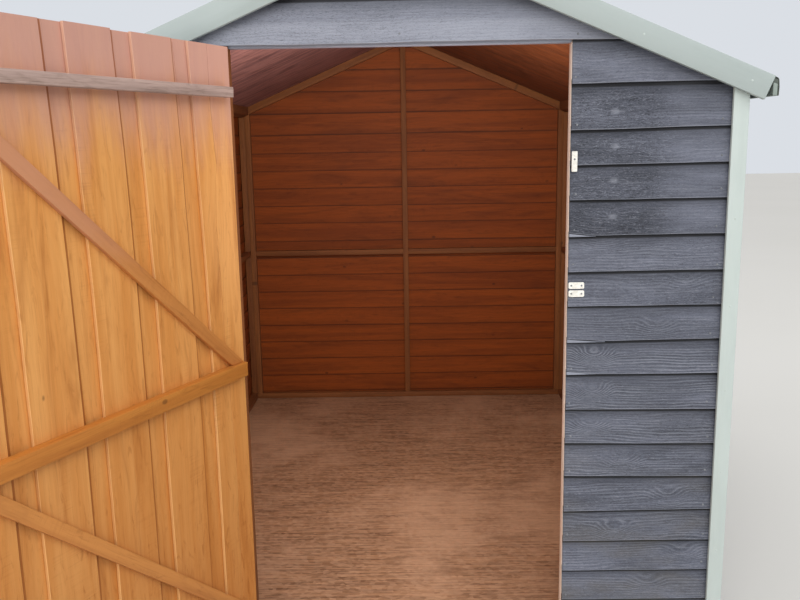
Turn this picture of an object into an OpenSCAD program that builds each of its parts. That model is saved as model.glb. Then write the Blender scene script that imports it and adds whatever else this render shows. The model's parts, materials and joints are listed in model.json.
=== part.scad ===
// Overlap-clad apex garden shed with one wide ledged and braced door.
// X runs to the right, Y into the shed and Z up. The origin is under the middle bearer.

/* [Overall] */
// Width over the side boards
body_w = 1830; // [1600:10:2100]
// Depth over the front and back boards
body_d = 2440; // [2000:10:3000]
// Rise of the roof's top line at the ridge over the doorway's head
gable_h = 310; // [280:1:420]
// Roof pitch in degrees
roof_pitch = 23; // [20:0.5:25]

/* [Doorway] */
// Clear width of the doorway
opening_w = 905; // [760:5:960]
// Clear height of the doorway above the floor
opening_h = 1702; // [1500:1:1950]
// Reach of the door posts past the ends of the boards
post_reach = 1; // [0.5:0.5:4]
// Reach of the header below the boards, as a stop for the door
head_stop = 6; // [6:1:16]
// Gap round the closed door
door_gap = 5; // [5:1:8]
// Angle that the door stands open
door_open = 114; // [95:1:150]

/* [Boards] */
// Thickness of one cladding board at its lower edge
board_t = 8; // [6:0.5:10]
// Height that each lower wall board shows
board_pitch = 97; // [80:1:120]
// Height that each upper wall board shows
wide_pitch = 114; // [90:1:125]
// Height of the lowest wall board above the ground
clad_bottom = 12; // [5:1:30]
// Width of a door board
door_board_w = 133; // [115:1:150]
// Distance from one inner door board to the next
door_pitch = 195; // [170:1:220]
// Extra width of the inner board at the hinge edge
door_edge_w = 20; // [0:1:40]

/* [Framing] */
// Depth of the wall framing behind the boards
frame_t = 32; // [28:1:45]
// Width of a framing batten along the wall
stud_w = 28; // [25:1:45]
// Depth of the roof battens under the deck
rafter_t = 36; // [28:1:45]
// Clearance where two timbers butt
joint_gap = 0.3; // [0.2:0.1:0.5]

/* [Base] */
// Height of the bearers
bearer_h = 50; // [40:1:75]
// Width of each bearer
bearer_w = 45; // [35:1:60]
// Number of bearers
bearer_count = 5; // [3:2:7]
// Thickness of the floor sheet
floor_t = 12; // [9:1:18]

/* [Roof and trim] */
// Reach of the eaves past the side boards
eave_reach = 70; // [60:1:110]
// Thickness of the roof deck
deck_t = 10; // [8:1:15]
// Thickness of the mineral felt
felt_t = 3; // [2:0.5:4]
// Drop of the felt at the eaves
felt_drop = 43; // [40:1:60]
// Width of the felt capping on each side of the ridge
capping_w = 150; // [100:5:200]
// Thickness of the eaves fascia
fascia_t = 12; // [9:1:20]
// Width of a bargeboard, square to its length
barge_w = 65; // [55:1:80]
// Thickness of a bargeboard
barge_t = 16; // [12:1:20]
// Distance from the eaves back to a bargeboard's end
barge_short = 13; // [10:1:30]
// Width of a corner strip
strip_w = 42; // [35:1:60]
// Thickness of a corner strip
strip_t = 12; // [9:1:18]

/* [Door] */
// Distance that the door stands proud of the wall boards
door_proud = 5; // [5:0.5:8]
// Thickness of a door ledge
ledge_t = 24; // [18:1:30]
// Thickness of a door brace
brace_t = 12; // [9:1:20]
// Height of the top ledge
top_ledge_w = 26; // [22:1:60]
// Height of the middle ledge
middle_ledge_w = 38; // [30:1:60]
// Height of the bottom ledge
bottom_ledge_w = 38; // [30:1:60]
// Drop from the doorway's head to the top ledge's lower edge
top_ledge_drop = 135; // [90:1:250]
// Height of the middle ledge's lower edge above the floor
middle_ledge_z = 827; // [700:1:950]
// Height of the bottom ledge's lower edge above the floor
bottom_ledge_z = 92; // [80:1:160]
// Distance from a ledge's end to the door's edge
ledge_inset = 18; // [15:1:40]
// Width of a brace along the ledges
brace_w = 52; // [40:1:70]
// Distance from the top of a brace to the ledge's free end
brace_head = 30; // [10:1:60]

/* [Ironwork] */
// Radius of the hinge pins
pin_r = 4; // [3:0.5:5]
// Running clearance between a pin and its knuckle
pin_clearance = 0.05; // [0.02:0.01:0.08]
// Wall of a hinge knuckle
knuckle_wall = 2.5; // [2:0.5:3.5]
// Thickness of the hinge leaves
leaf_t = 3; // [2:0.5:3]
// Height of the strap and of its knuckle
strap_h = 35; // [28:1:40]
// Height of each fixed knuckle
fixed_knuckle_h = 20; // [15:1:30]
// Length of a hinge strap
strap_len = 350; // [250:5:420]
// Width of the fixed leaf beside the knuckle
leaf_w = 38; // [30:1:50]
// Height of the upper keep plate above the floor
upper_keep_z = 1361; // [1250:1:1450]
// Height of the lower keep plates above the floor
lower_keep_z = 1020; // [950:1:1150]

/* [Hidden] */
$fn = 48;

// Colours as the real one has them
paint_blue = [0.22, 0.26, 0.30];
trim_green = [0.74, 0.80, 0.75];
bare_wood = [0.80, 0.60, 0.40];
stained_wood = [0.76, 0.50, 0.26];
board_brown = [0.55, 0.40, 0.27];
felt_green = [0.42, 0.46, 0.42];
zinc = [0.75, 0.76, 0.77];

// Levels and faces
floor_z = bearer_h + floor_t;
clad_t = 2 * board_t;
frame_x = body_w / 2 - clad_t;
frame_y = body_d / 2 - clad_t;
inner_x = frame_x - frame_t;
inner_y = frame_y - frame_t;
front_y = -body_d / 2;
head_z = floor_z + opening_h;
opening_x = opening_w / 2;
post_x = opening_x - post_reach;
header_z = head_z - head_stop;
roof_y = body_d / 2 + strip_t;
far = 4000;

// Roof lines: each gives the height at a distance x from the ridge
roof_rise = tan(roof_pitch);
felt_v = felt_t / cos(roof_pitch);
deck_v = deck_t / cos(roof_pitch);
eave_x = body_w / 2 + eave_reach;
function felt_top(x) = head_z + gable_h - roof_rise * x;
function deck_top(x) = felt_top(x) - felt_v;
function deck_under(x) = deck_top(x) - deck_v;

// Lower edges of the wall boards, from the ground to the ridge
wide_z = head_z - 2 * wide_pitch;
lower_count = ceil((wide_z - clad_bottom) / board_pitch);
upper_count = ceil((felt_top(0) - wide_z) / wide_pitch);
course_z = concat([for (i = [lower_count:-1:1]) max(clad_bottom, wide_z - i * board_pitch)],
                  [for (i = [0:upper_count]) wide_z + i * wide_pitch]);

// Hinges: the pins stand just clear of the wall boards
knuckle_r = pin_r + pin_clearance + knuckle_wall;
pin_x = -opening_x - knuckle_r + 0.5;
pin_y = front_y - door_proud - knuckle_r - 0.5;
leaf_h = strap_h + 2 * fixed_knuckle_h + 2 * joint_gap + 34;
door_x = opening_x - door_gap;
door_y = front_y - door_proud;
door_inner_y = door_y + clad_t;
door_low_z = floor_z + door_gap + 1;
door_high_z = head_z - door_gap;
door_edges = [for (x = [door_edge_w - door_x:door_pitch:door_x - door_board_w / 3]) x];
door_slot_w = door_pitch - door_board_w;
door_strip_w = (door_board_w - door_slot_w) / 2 + door_edge_w;
ledge_x = door_x - ledge_inset;
top_ledge_z = opening_h - top_ledge_drop;
hinge_z = [floor_z + bottom_ledge_z + bottom_ledge_w / 2,
           floor_z + middle_ledge_z + middle_ledge_w / 2,
           floor_z + top_ledge_z + top_ledge_w / 2];

// Shared shapes

// Saw-toothed section of lapped boards: flat behind, thick at each starting edge
function lap_section(edges, end, thin, thick) =
    concat([[0, edges[0]]],
           [for (i = [0:len(edges) - 1], k = [0, 1])
               k == 0 ? [-thick, edges[i]]
                      : [-thin, i < len(edges) - 1 ? edges[i + 1] : end]],
           [[0, end]]);

// Extrudes an outline drawn in X and Z along Y, between two depths
module along_y(y0, y1) {
    translate([0, y1, 0]) rotate([90, 0, 0]) linear_extrude(y1 - y0) children();
}

// Everything under the roof deck, less a drop
module under_roof(drop = 0) {
    wide = body_w / 2 + eave_reach / 2;
    along_y(-far, far)
        polygon([[-wide, 0], [wide, 0], [wide, deck_under(wide) - drop],
                 [0, deck_under(0) - drop], [-wide, deck_under(wide) - drop]]);
}

// Lapped wall boards facing -Y, with their flat back on the plane y = 0
module lapped_sheet(length) {
    rotate([90, 0, 90]) linear_extrude(length, center = true)
        polygon(lap_section(course_z, course_z[len(course_z) - 1] + wide_pitch, board_t, clad_t));
}

// A box given by its two corners
module block(low, high) {
    translate(low) cube(high - low);
}

// Lapped front boards between two X positions and two heights
module front_boards(x0, x1, z0, z1) {
    intersection() {
        translate([0, -frame_y, 0]) lapped_sheet(2 * frame_x);
        block([x0, -far, z0], [x1, 0, z1]);
        under_roof();
    }
}

// Mirrors a piece from the right of the shed to its left
module on_left() {
    mirror([1, 0, 0]) children();
}

// Mirrors a piece from the front of the shed to its back
module at_back() {
    mirror([0, 1, 0]) children();
}

// Base

// Timber bearers across the shed, one of them under the origin
module floor_bearers() {
    step = (2 * frame_y - bearer_w) / (bearer_count - 1);
    color(bare_wood)
        for (i = [0:bearer_count - 1])
            translate([0, i * step - frame_y + bearer_w / 2, bearer_h / 2])
                cube([2 * frame_x, bearer_w, bearer_h], center = true);
}

// One sheet of chipboard on the bearers
module floor_board() {
    color(board_brown)
        block([-frame_x, -frame_y, bearer_h], [frame_x, frame_y, floor_z]);
}

// Painted board that closes the floor's edge under the door
module threshold_board() {
    color(paint_blue)
        block([-opening_x + joint_gap, front_y, clad_bottom],
              [opening_x - joint_gap, -frame_y, floor_z]);
}

// Wall boards

module front_cladding_right() {
    color(paint_blue) front_boards(opening_x, frame_x, clad_bottom, head_z - joint_gap);
}

module front_cladding_left() {
    color(paint_blue) front_boards(-frame_x, -opening_x, clad_bottom, head_z - joint_gap);
}

module front_gable_cladding() {
    color(paint_blue) front_boards(-frame_x, frame_x, head_z, far);
}

module back_cladding() {
    color(paint_blue) at_back() front_boards(-frame_x, frame_x, clad_bottom, far);
}

module right_cladding() {
    color(paint_blue)
        intersection() {
            translate([frame_x, 0, 0]) rotate([0, 0, 90]) lapped_sheet(body_d);
            under_roof();
        }
}

module left_cladding() {
    on_left() right_cladding();
}

// Framing behind the boards

// Upright battens at the given X centres, cut to a drop under the roof
module front_studs(centres, z0, drop) {
    intersection() {
        for (x = centres)
            block([x - stud_w / 2, -frame_y, z0], [x + stud_w / 2, -inner_y, far]);
        under_roof(drop);
    }
}

rake_v = stud_w / cos(roof_pitch);
sole_z = floor_z + stud_w;
rail_z = floor_z + middle_ledge_z;
wall_end_x = inner_x - joint_gap;

// One batten that follows the roof down to the right
module rake_batten() {
    along_y(-frame_y, -inner_y)
        polygon([[joint_gap / 2, deck_under(0)], [wall_end_x, deck_under(wall_end_x)],
                 [wall_end_x, deck_under(wall_end_x) - rake_v],
                 [joint_gap / 2, deck_under(0) - rake_v]]);
}

// Door post, corner stud, sole plate and a middle rail
module front_frame_right() {
    color(bare_wood) {
        front_studs([post_x + stud_w / 2, wall_end_x - stud_w / 2],
                    sole_z + joint_gap, rake_v + joint_gap);
        block([post_x, -frame_y, floor_z], [wall_end_x, -inner_y, sole_z]);
        block([post_x + stud_w + joint_gap, -frame_y, rail_z],
              [wall_end_x - stud_w - joint_gap, -inner_y, rail_z + stud_w]);
    }
}

module front_frame_left() {
    on_left() front_frame_right();
}

// Rail over the doorway, between the door posts
module door_header() {
    color(trim_green)
        block([-post_x + joint_gap, -frame_y, header_z],
              [post_x - joint_gap, -inner_y, header_z + stud_w]);
}

// Two rake battens and a short stud over the door header
module front_gable_frame() {
    color(bare_wood) {
        rake_batten();
        on_left() rake_batten();
        front_studs([0], header_z + stud_w + joint_gap, rake_v + joint_gap);
    }
}

// Studs, sole plate, middle rails and rake battens
module back_frame() {
    bays = 2;
    first_x = wall_end_x - stud_w / 2;
    step = 2 * first_x / bays;
    centres = [for (i = [0:bays]) i * step - first_x];
    color(bare_wood) at_back() {
        front_studs(centres, sole_z + joint_gap, rake_v + joint_gap);
        block([-wall_end_x, -frame_y, floor_z], [wall_end_x, -inner_y, sole_z]);
        for (i = [0:bays - 1])
            block([centres[i] + stud_w / 2 + joint_gap, -frame_y, rail_z],
                  [centres[i + 1] - stud_w / 2 - joint_gap, -inner_y, rail_z + stud_w]);
        rake_batten();
        on_left() rake_batten();
    }
}

// Studs, sole plate, middle rails and a wall plate under the roof
module right_frame() {
    bays = 4;
    first_y = frame_y - stud_w / 2;
    step = 2 * first_y / bays;
    plate_z = deck_under(frame_x) - stud_w;
    color(bare_wood) {
        block([inner_x, -frame_y, floor_z], [frame_x, frame_y, sole_z]);
        intersection() {
            block([inner_x, -frame_y, plate_z], [frame_x, frame_y, far]);
            under_roof();
        }
        for (i = [0:bays]) {
            y = i * step - first_y;
            block([inner_x, y - stud_w / 2, sole_z + joint_gap],
                  [frame_x, y + stud_w / 2, plate_z - joint_gap]);
            if (i < bays)
                block([inner_x, y + stud_w / 2 + joint_gap, rail_z],
                      [frame_x, y + step - stud_w / 2 - joint_gap, rail_z + stud_w]);
        }
    }
}

module left_frame() {
    on_left() right_frame();
}

// Corner strips and bargeboards

module front_right_corner_strip() {
    color(trim_green)
        intersection() {
            block([body_w / 2 - strip_w, front_y - strip_t, clad_bottom],
                  [body_w / 2, front_y, far]);
            under_roof();
        }
}

module front_left_corner_strip() {
    on_left() front_right_corner_strip();
}

module back_right_corner_strip() {
    at_back() front_right_corner_strip();
}

module back_left_corner_strip() {
    at_back() front_left_corner_strip();
}

// A sloping board on the roof's front edge, plumb at the ridge and square at the eaves
module front_right_bargeboard() {
    end_x = eave_x - barge_short;
    color(trim_green)
        along_y(-roof_y - barge_t, -roof_y)
            polygon([[joint_gap / 2, felt_top(0)], [end_x, felt_top(end_x)],
                     [end_x - barge_w * sin(roof_pitch),
                      felt_top(end_x) - barge_w * cos(roof_pitch)],
                     [joint_gap / 2, felt_top(0) - barge_w / cos(roof_pitch)]]);
}

module front_left_bargeboard() {
    on_left() front_right_bargeboard();
}

module back_right_bargeboard() {
    at_back() front_right_bargeboard();
}

module back_left_bargeboard() {
    at_back() front_left_bargeboard();
}

// Roof

module roof_deck_right() {
    color(board_brown)
        along_y(-roof_y, roof_y)
            polygon([[joint_gap / 2, deck_top(0)], [eave_x, deck_top(eave_x)],
                     [eave_x, deck_under(eave_x)], [joint_gap / 2, deck_under(0)]]);
}

module roof_deck_left() {
    on_left() roof_deck_right();
}

// Battens under the deck: at the ridge, over the side wall, and up the roof at each end
module roof_frame_right() {
    run_y = inner_y - joint_gap;
    ridge_x = stud_w;
    wall_x = inner_x - stud_w;
    rafter_v = rafter_t / cos(roof_pitch);
    color(bare_wood) {
        along_y(-run_y, run_y) roof_strip(joint_gap, ridge_x, rafter_v);
        along_y(-run_y, run_y) roof_strip(wall_x, inner_x - joint_gap, rafter_v);
        for (y = [-run_y, run_y - stud_w])
            along_y(y, y + stud_w) roof_strip(ridge_x + joint_gap, wall_x - joint_gap, rafter_v);
    }
}

// Outline of a batten under the deck, between two distances from the ridge
module roof_strip(x0, x1, depth) {
    polygon([[x0, deck_under(x0)], [x1, deck_under(x1)],
             [x1, deck_under(x1) - depth], [x0, deck_under(x0) - depth]]);
}

module roof_frame_left() {
    on_left() roof_frame_right();
}

// Felt on the deck, turned down over the eaves
module roof_felt_right() {
    outer_x = eave_x + felt_t;
    low_z = felt_top(outer_x) - felt_drop;
    color(felt_green)
        along_y(-roof_y, roof_y)
            polygon([[joint_gap / 2, felt_top(0)], [outer_x, felt_top(outer_x)],
                     [outer_x, low_z], [eave_x, low_z],
                     [eave_x, deck_top(eave_x)], [joint_gap / 2, deck_top(0)]]);
}

module roof_felt_left() {
    on_left() roof_felt_right();
}

// Second layer of felt folded over the ridge
module ridge_capping() {
    under_z = felt_top(capping_w) + joint_gap;
    ridge_z = felt_top(0) + joint_gap;
    color(felt_green)
        along_y(-roof_y, roof_y)
            polygon([[-capping_w, under_z], [0, ridge_z], [capping_w, under_z],
                     [capping_w, under_z + felt_v], [0, ridge_z + felt_v],
                     [-capping_w, under_z + felt_v]]);
}

// Board behind the felt's turned-down edge
module eaves_fascia_right() {
    low_z = felt_top(eave_x + felt_t) - felt_drop;
    back_x = eave_x - fascia_t;
    color(trim_green)
        along_y(-roof_y, roof_y)
            polygon([[back_x, low_z], [eave_x - joint_gap, low_z],
                     [eave_x - joint_gap, deck_under(eave_x) - joint_gap],
                     [back_x, deck_under(back_x) - joint_gap]]);
}

module eaves_fascia_left() {
    on_left() eaves_fascia_right();
}

// Ironwork on the wall

// Fixed leaf, two knuckles and a pin at each hinge
module hinge_leaves() {
    color(zinc)
        for (z = hinge_z) translate([pin_x, pin_y, z]) {
            back = front_y - pin_y;
            block([-leaf_w - knuckle_r, back - leaf_t, -leaf_h / 2],
                  [-knuckle_r - 1.5, back, leaf_h / 2]);
            for (side = [0, 1]) mirror([0, 0, side]) {
                block([-knuckle_r - 2, 0, strap_h / 2 + joint_gap],
                      [0, back, strap_h / 2 + joint_gap + fixed_knuckle_h]);
                translate([0, 0, strap_h / 2 + joint_gap])
                    cylinder(r = knuckle_r, h = fixed_knuckle_h);
            }
            cylinder(r = pin_r, h = strap_h + 2 * joint_gap + fixed_knuckle_h, center = true);
        }
}

// Narrow upright plate beside the doorway
module upper_keep() {
    color(zinc)
        block([opening_x + 2, front_y - leaf_t, floor_z + upper_keep_z],
              [opening_x + 17, front_y, floor_z + upper_keep_z + 54]);
}

// Stands a piece on the sloping face of a front board, at a height
module on_front_board(z) {
    low_z = max([for (edge = course_z) if (edge <= z) edge]);
    high_z = min([for (edge = course_z) if (edge > z) edge]);
    face = clad_t - board_t * (z - low_z) / (high_z - low_z);
    translate([0, -frame_y - face - joint_gap, z])
        rotate([-atan(board_t / (high_z - low_z)), 0, 0]) children();
}

// Two small plates, one over the other
module lower_keep() {
    plate_w = 43;
    plate_h = 18;
    plate_gap = 4;
    color(zinc)
        for (i = [0, 1])
            on_front_board(floor_z + lower_keep_z + i * (plate_h + plate_gap) + plate_h / 2)
                block([opening_x + 1, -leaf_t, -plate_h / 2],
                      [opening_x + 1 + plate_w, 0, plate_h / 2]);
}

// Door: drawn closed and then swung about its pins

module swung_open() {
    translate([pin_x, pin_y, 0]) rotate([0, 0, -door_open]) translate([-pin_x, -pin_y, 0])
        children();
}

// Upright boards in two layers: the outer ones cover the gaps between the inner ones
module door_boards() {
    last = len(door_edges) - 1;
    color(stained_wood) swung_open()
        translate([0, door_inner_y, door_low_z])
            linear_extrude(door_high_z - door_low_z) {
                for (i = [0:last]) {
                    x = door_edges[i];
                    outer_x = x - (door_board_w + door_slot_w) / 2;
                    door_board(i == 0 ? -door_x : x, i == last ? door_x : x + door_board_w, 1);
                    door_board(outer_x, outer_x + door_board_w, 2);
                }
                door_board(door_x - door_strip_w, door_x, 2);
            }
}

// Section of a door board between two X positions, in the first or second layer
module door_board(x0, x1, layer) {
    near_x = max(x0, -door_x);
    translate([near_x, -layer * board_t]) square([min(x1, door_x) - near_x, board_t]);
}

// A level batten across the inner face of the door
module door_ledge(low_z, height) {
    color(stained_wood) swung_open()
        block([-ledge_x, door_inner_y, floor_z + low_z],
              [ledge_x, door_inner_y + ledge_t, floor_z + low_z + height]);
}

module door_top_ledge() {
    door_ledge(top_ledge_z, top_ledge_w);
}

module door_middle_ledge() {
    door_ledge(middle_ledge_z, middle_ledge_w);
}

module door_bottom_ledge() {
    door_ledge(bottom_ledge_z, bottom_ledge_w);
}

// A brace that climbs from the hinge side, between two ledges, cut off at the free end
module door_brace(low_z, high_z) {
    head_x = ledge_x - brace_head;
    z0 = floor_z + low_z + joint_gap;
    z1 = floor_z + high_z - joint_gap;
    climb = (z1 - z0) / (head_x + ledge_x);
    color(stained_wood) swung_open()
        along_y(door_inner_y, door_inner_y + brace_t)
            polygon([[-ledge_x, z0], [brace_w - ledge_x, z0],
                     [ledge_x, z0 + climb * (2 * ledge_x - brace_w)], [ledge_x, z1],
                     [head_x, z1]]);
}

module door_upper_brace() {
    door_brace(middle_ledge_z + middle_ledge_w, top_ledge_z);
}

module door_lower_brace() {
    door_brace(bottom_ledge_z + bottom_ledge_w, middle_ledge_z);
}

// Strap and knuckle at each ledge, on the outer face
module hinge_straps() {
    back = door_y - pin_y;
    tip_h = strap_h / 2;
    color(zinc) swung_open()
        for (z = hinge_z) translate([pin_x, pin_y, z])
            difference() {
                union() {
                    along_y(back - leaf_t, back)
                        polygon([[0, -strap_h / 2], [strap_len, -tip_h / 2],
                                 [strap_len, tip_h / 2], [0, strap_h / 2]]);
                    cylinder(r = knuckle_r, h = strap_h, center = true);
                }
                cylinder(r = pin_r + pin_clearance, h = strap_h + 2, center = true);
            }
}

// Sliding bolt drawn back on its plate, level with the lower keep
module door_bolt() {
    plate_l = 80;
    plate_w = 38;
    bolt_r = 5;
    guide_w = 12;
    guide_wall = 2;
    bolt_y = -leaf_t - bolt_r - 1;
    color(zinc) swung_open()
        translate([door_x - plate_l - door_gap - 10, door_y, floor_z + lower_keep_z + 20]) {
            block([0, -leaf_t, -plate_w / 2], [plate_l, 0, plate_w / 2]);
            for (x = [guide_w / 2, plate_l - 1.5 * guide_w])
                block([x, bolt_y - bolt_r - guide_wall, -bolt_r - guide_wall],
                      [x + guide_w, -leaf_t, bolt_r + guide_wall]);
            translate([-guide_w, bolt_y, 0]) rotate([0, 90, 0])
                cylinder(r = bolt_r, h = plate_l + 1.5 * guide_w);
        }
}

floor_bearers();
floor_board();
threshold_board();
front_cladding_left();
front_cladding_right();
front_gable_cladding();
back_cladding();
left_cladding();
right_cladding();
front_frame_left();
front_frame_right();
door_header();
front_gable_frame();
back_frame();
left_frame();
right_frame();
front_left_corner_strip();
front_right_corner_strip();
back_left_corner_strip();
back_right_corner_strip();
front_left_bargeboard();
front_right_bargeboard();
back_left_bargeboard();
back_right_bargeboard();
roof_deck_left();
roof_deck_right();
roof_frame_left();
roof_frame_right();
roof_felt_left();
roof_felt_right();
ridge_capping();
eaves_fascia_left();
eaves_fascia_right();
hinge_leaves();
upper_keep();
lower_keep();
door_boards();
door_top_ledge();
door_middle_ledge();
door_bottom_ledge();
door_upper_brace();
door_lower_brace();
hinge_straps();
door_bolt();
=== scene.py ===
"""Dressed model of an overlap-clad garden shed with one wide ledged and braced door.

The frame gives the pieces at their real size. This script makes the single boards, the softened
timbers, the felt, the nails and screws, and the finish of every surface, then sets the studio.
Lengths are in metres, and the shed's front faces -Y.
"""

import json
import logging
import math
import random
from dataclasses import dataclass, field
from enum import Enum
from typing import Callable, Iterator, Sequence, Union

import bmesh
import bpy
from mathutils import Matrix, Vector, noise


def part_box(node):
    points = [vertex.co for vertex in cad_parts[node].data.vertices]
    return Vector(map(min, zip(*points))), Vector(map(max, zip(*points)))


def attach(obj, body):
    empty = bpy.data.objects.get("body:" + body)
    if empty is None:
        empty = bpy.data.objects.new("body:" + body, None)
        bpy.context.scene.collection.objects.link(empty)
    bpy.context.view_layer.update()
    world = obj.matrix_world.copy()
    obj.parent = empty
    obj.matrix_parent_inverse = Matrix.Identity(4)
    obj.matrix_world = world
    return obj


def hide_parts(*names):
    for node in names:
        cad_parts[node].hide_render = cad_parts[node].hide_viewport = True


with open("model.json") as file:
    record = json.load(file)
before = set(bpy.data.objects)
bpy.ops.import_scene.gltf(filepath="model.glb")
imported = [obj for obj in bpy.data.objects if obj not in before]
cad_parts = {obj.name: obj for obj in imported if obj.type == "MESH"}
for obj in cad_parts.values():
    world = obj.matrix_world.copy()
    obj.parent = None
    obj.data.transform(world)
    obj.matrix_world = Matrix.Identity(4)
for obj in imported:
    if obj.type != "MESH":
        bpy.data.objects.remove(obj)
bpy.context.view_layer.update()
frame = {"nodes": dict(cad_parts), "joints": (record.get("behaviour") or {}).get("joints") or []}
LOG = logging.getLogger("shed")

Triple = tuple[float, float, float]
Pair = tuple[float, float]
Number = Union[float, "Signal"]
Value = Union[float, str, Triple, "Signal"]

STEEL = "zinc_plated_steel"
LEDGES = ("door_bottom_ledge", "door_middle_ledge", "door_top_ledge")
SIDES = (("left", -1.0), ("right", 1.0))
# An edge sharper than this isn't shaded smooth, and a distance of a hair counts as none.
SHARP_ANGLE = math.radians(32)
HAIR = 0.001


def paint_chip(code: str) -> tuple[float, float, float, float]:
    """Turns a colour code as seen on a screen into linear light.

    Args:
        code: Six hexadecimal digits, two each for red, green and blue.

    Returns:
        The linear colour with an alpha of one.
    """
    parts = [int(code[i:i + 2], 16) / 255 for i in (0, 2, 4)]
    red, green, blue = (p / 12.92 if p <= 0.04045 else ((p + 0.055) / 1.055) ** 2.4 for p in parts)
    return red, green, blue, 1.0


def link(name: str, data: bpy.types.ID) -> bpy.types.Object:
    """Makes an object of a mesh, a camera or a light, and links it to the scene."""
    made = bpy.data.objects.new(name, data)
    bpy.context.scene.collection.objects.link(made)
    return made


def from_a_log(rng: random.Random) -> Vector:
    """Draws the place in a long thick log that a timber is cut from."""
    return Vector([rng.uniform(0, 40) for _ in range(3)])


@dataclass(frozen=True)
class Signal:
    """A value on its way through a material's nodes, which takes Python's operators."""

    shade: "Shade"
    socket: bpy.types.NodeSocket

    def output(self, name: str) -> "Signal":
        """Gives another output of the same node."""
        return Signal(self.shade, self.socket.node.outputs[name])

    def maths(self, operation: str, first: Number, second: Number) -> "Signal":
        """Adds a Math node for two numbers."""
        return self.shade.node("ShaderNodeMath", {"operation": operation}, {0: first, 1: second})

    def __add__(self, other: Number) -> "Signal":
        """Adds."""
        return self.maths("ADD", self, other)

    def __radd__(self, other: Number) -> "Signal":
        """Adds to a number."""
        return self.maths("ADD", other, self)

    def __sub__(self, other: Number) -> "Signal":
        """Subtracts."""
        return self.maths("SUBTRACT", self, other)

    def __rsub__(self, other: Number) -> "Signal":
        """Subtracts from a number."""
        return self.maths("SUBTRACT", other, self)

    def __mul__(self, other: Number) -> "Signal":
        """Multiplies."""
        return self.maths("MULTIPLY", self, other)

    def __rmul__(self, other: Number) -> "Signal":
        """Multiplies a number."""
        return self.maths("MULTIPLY", other, self)


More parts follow.
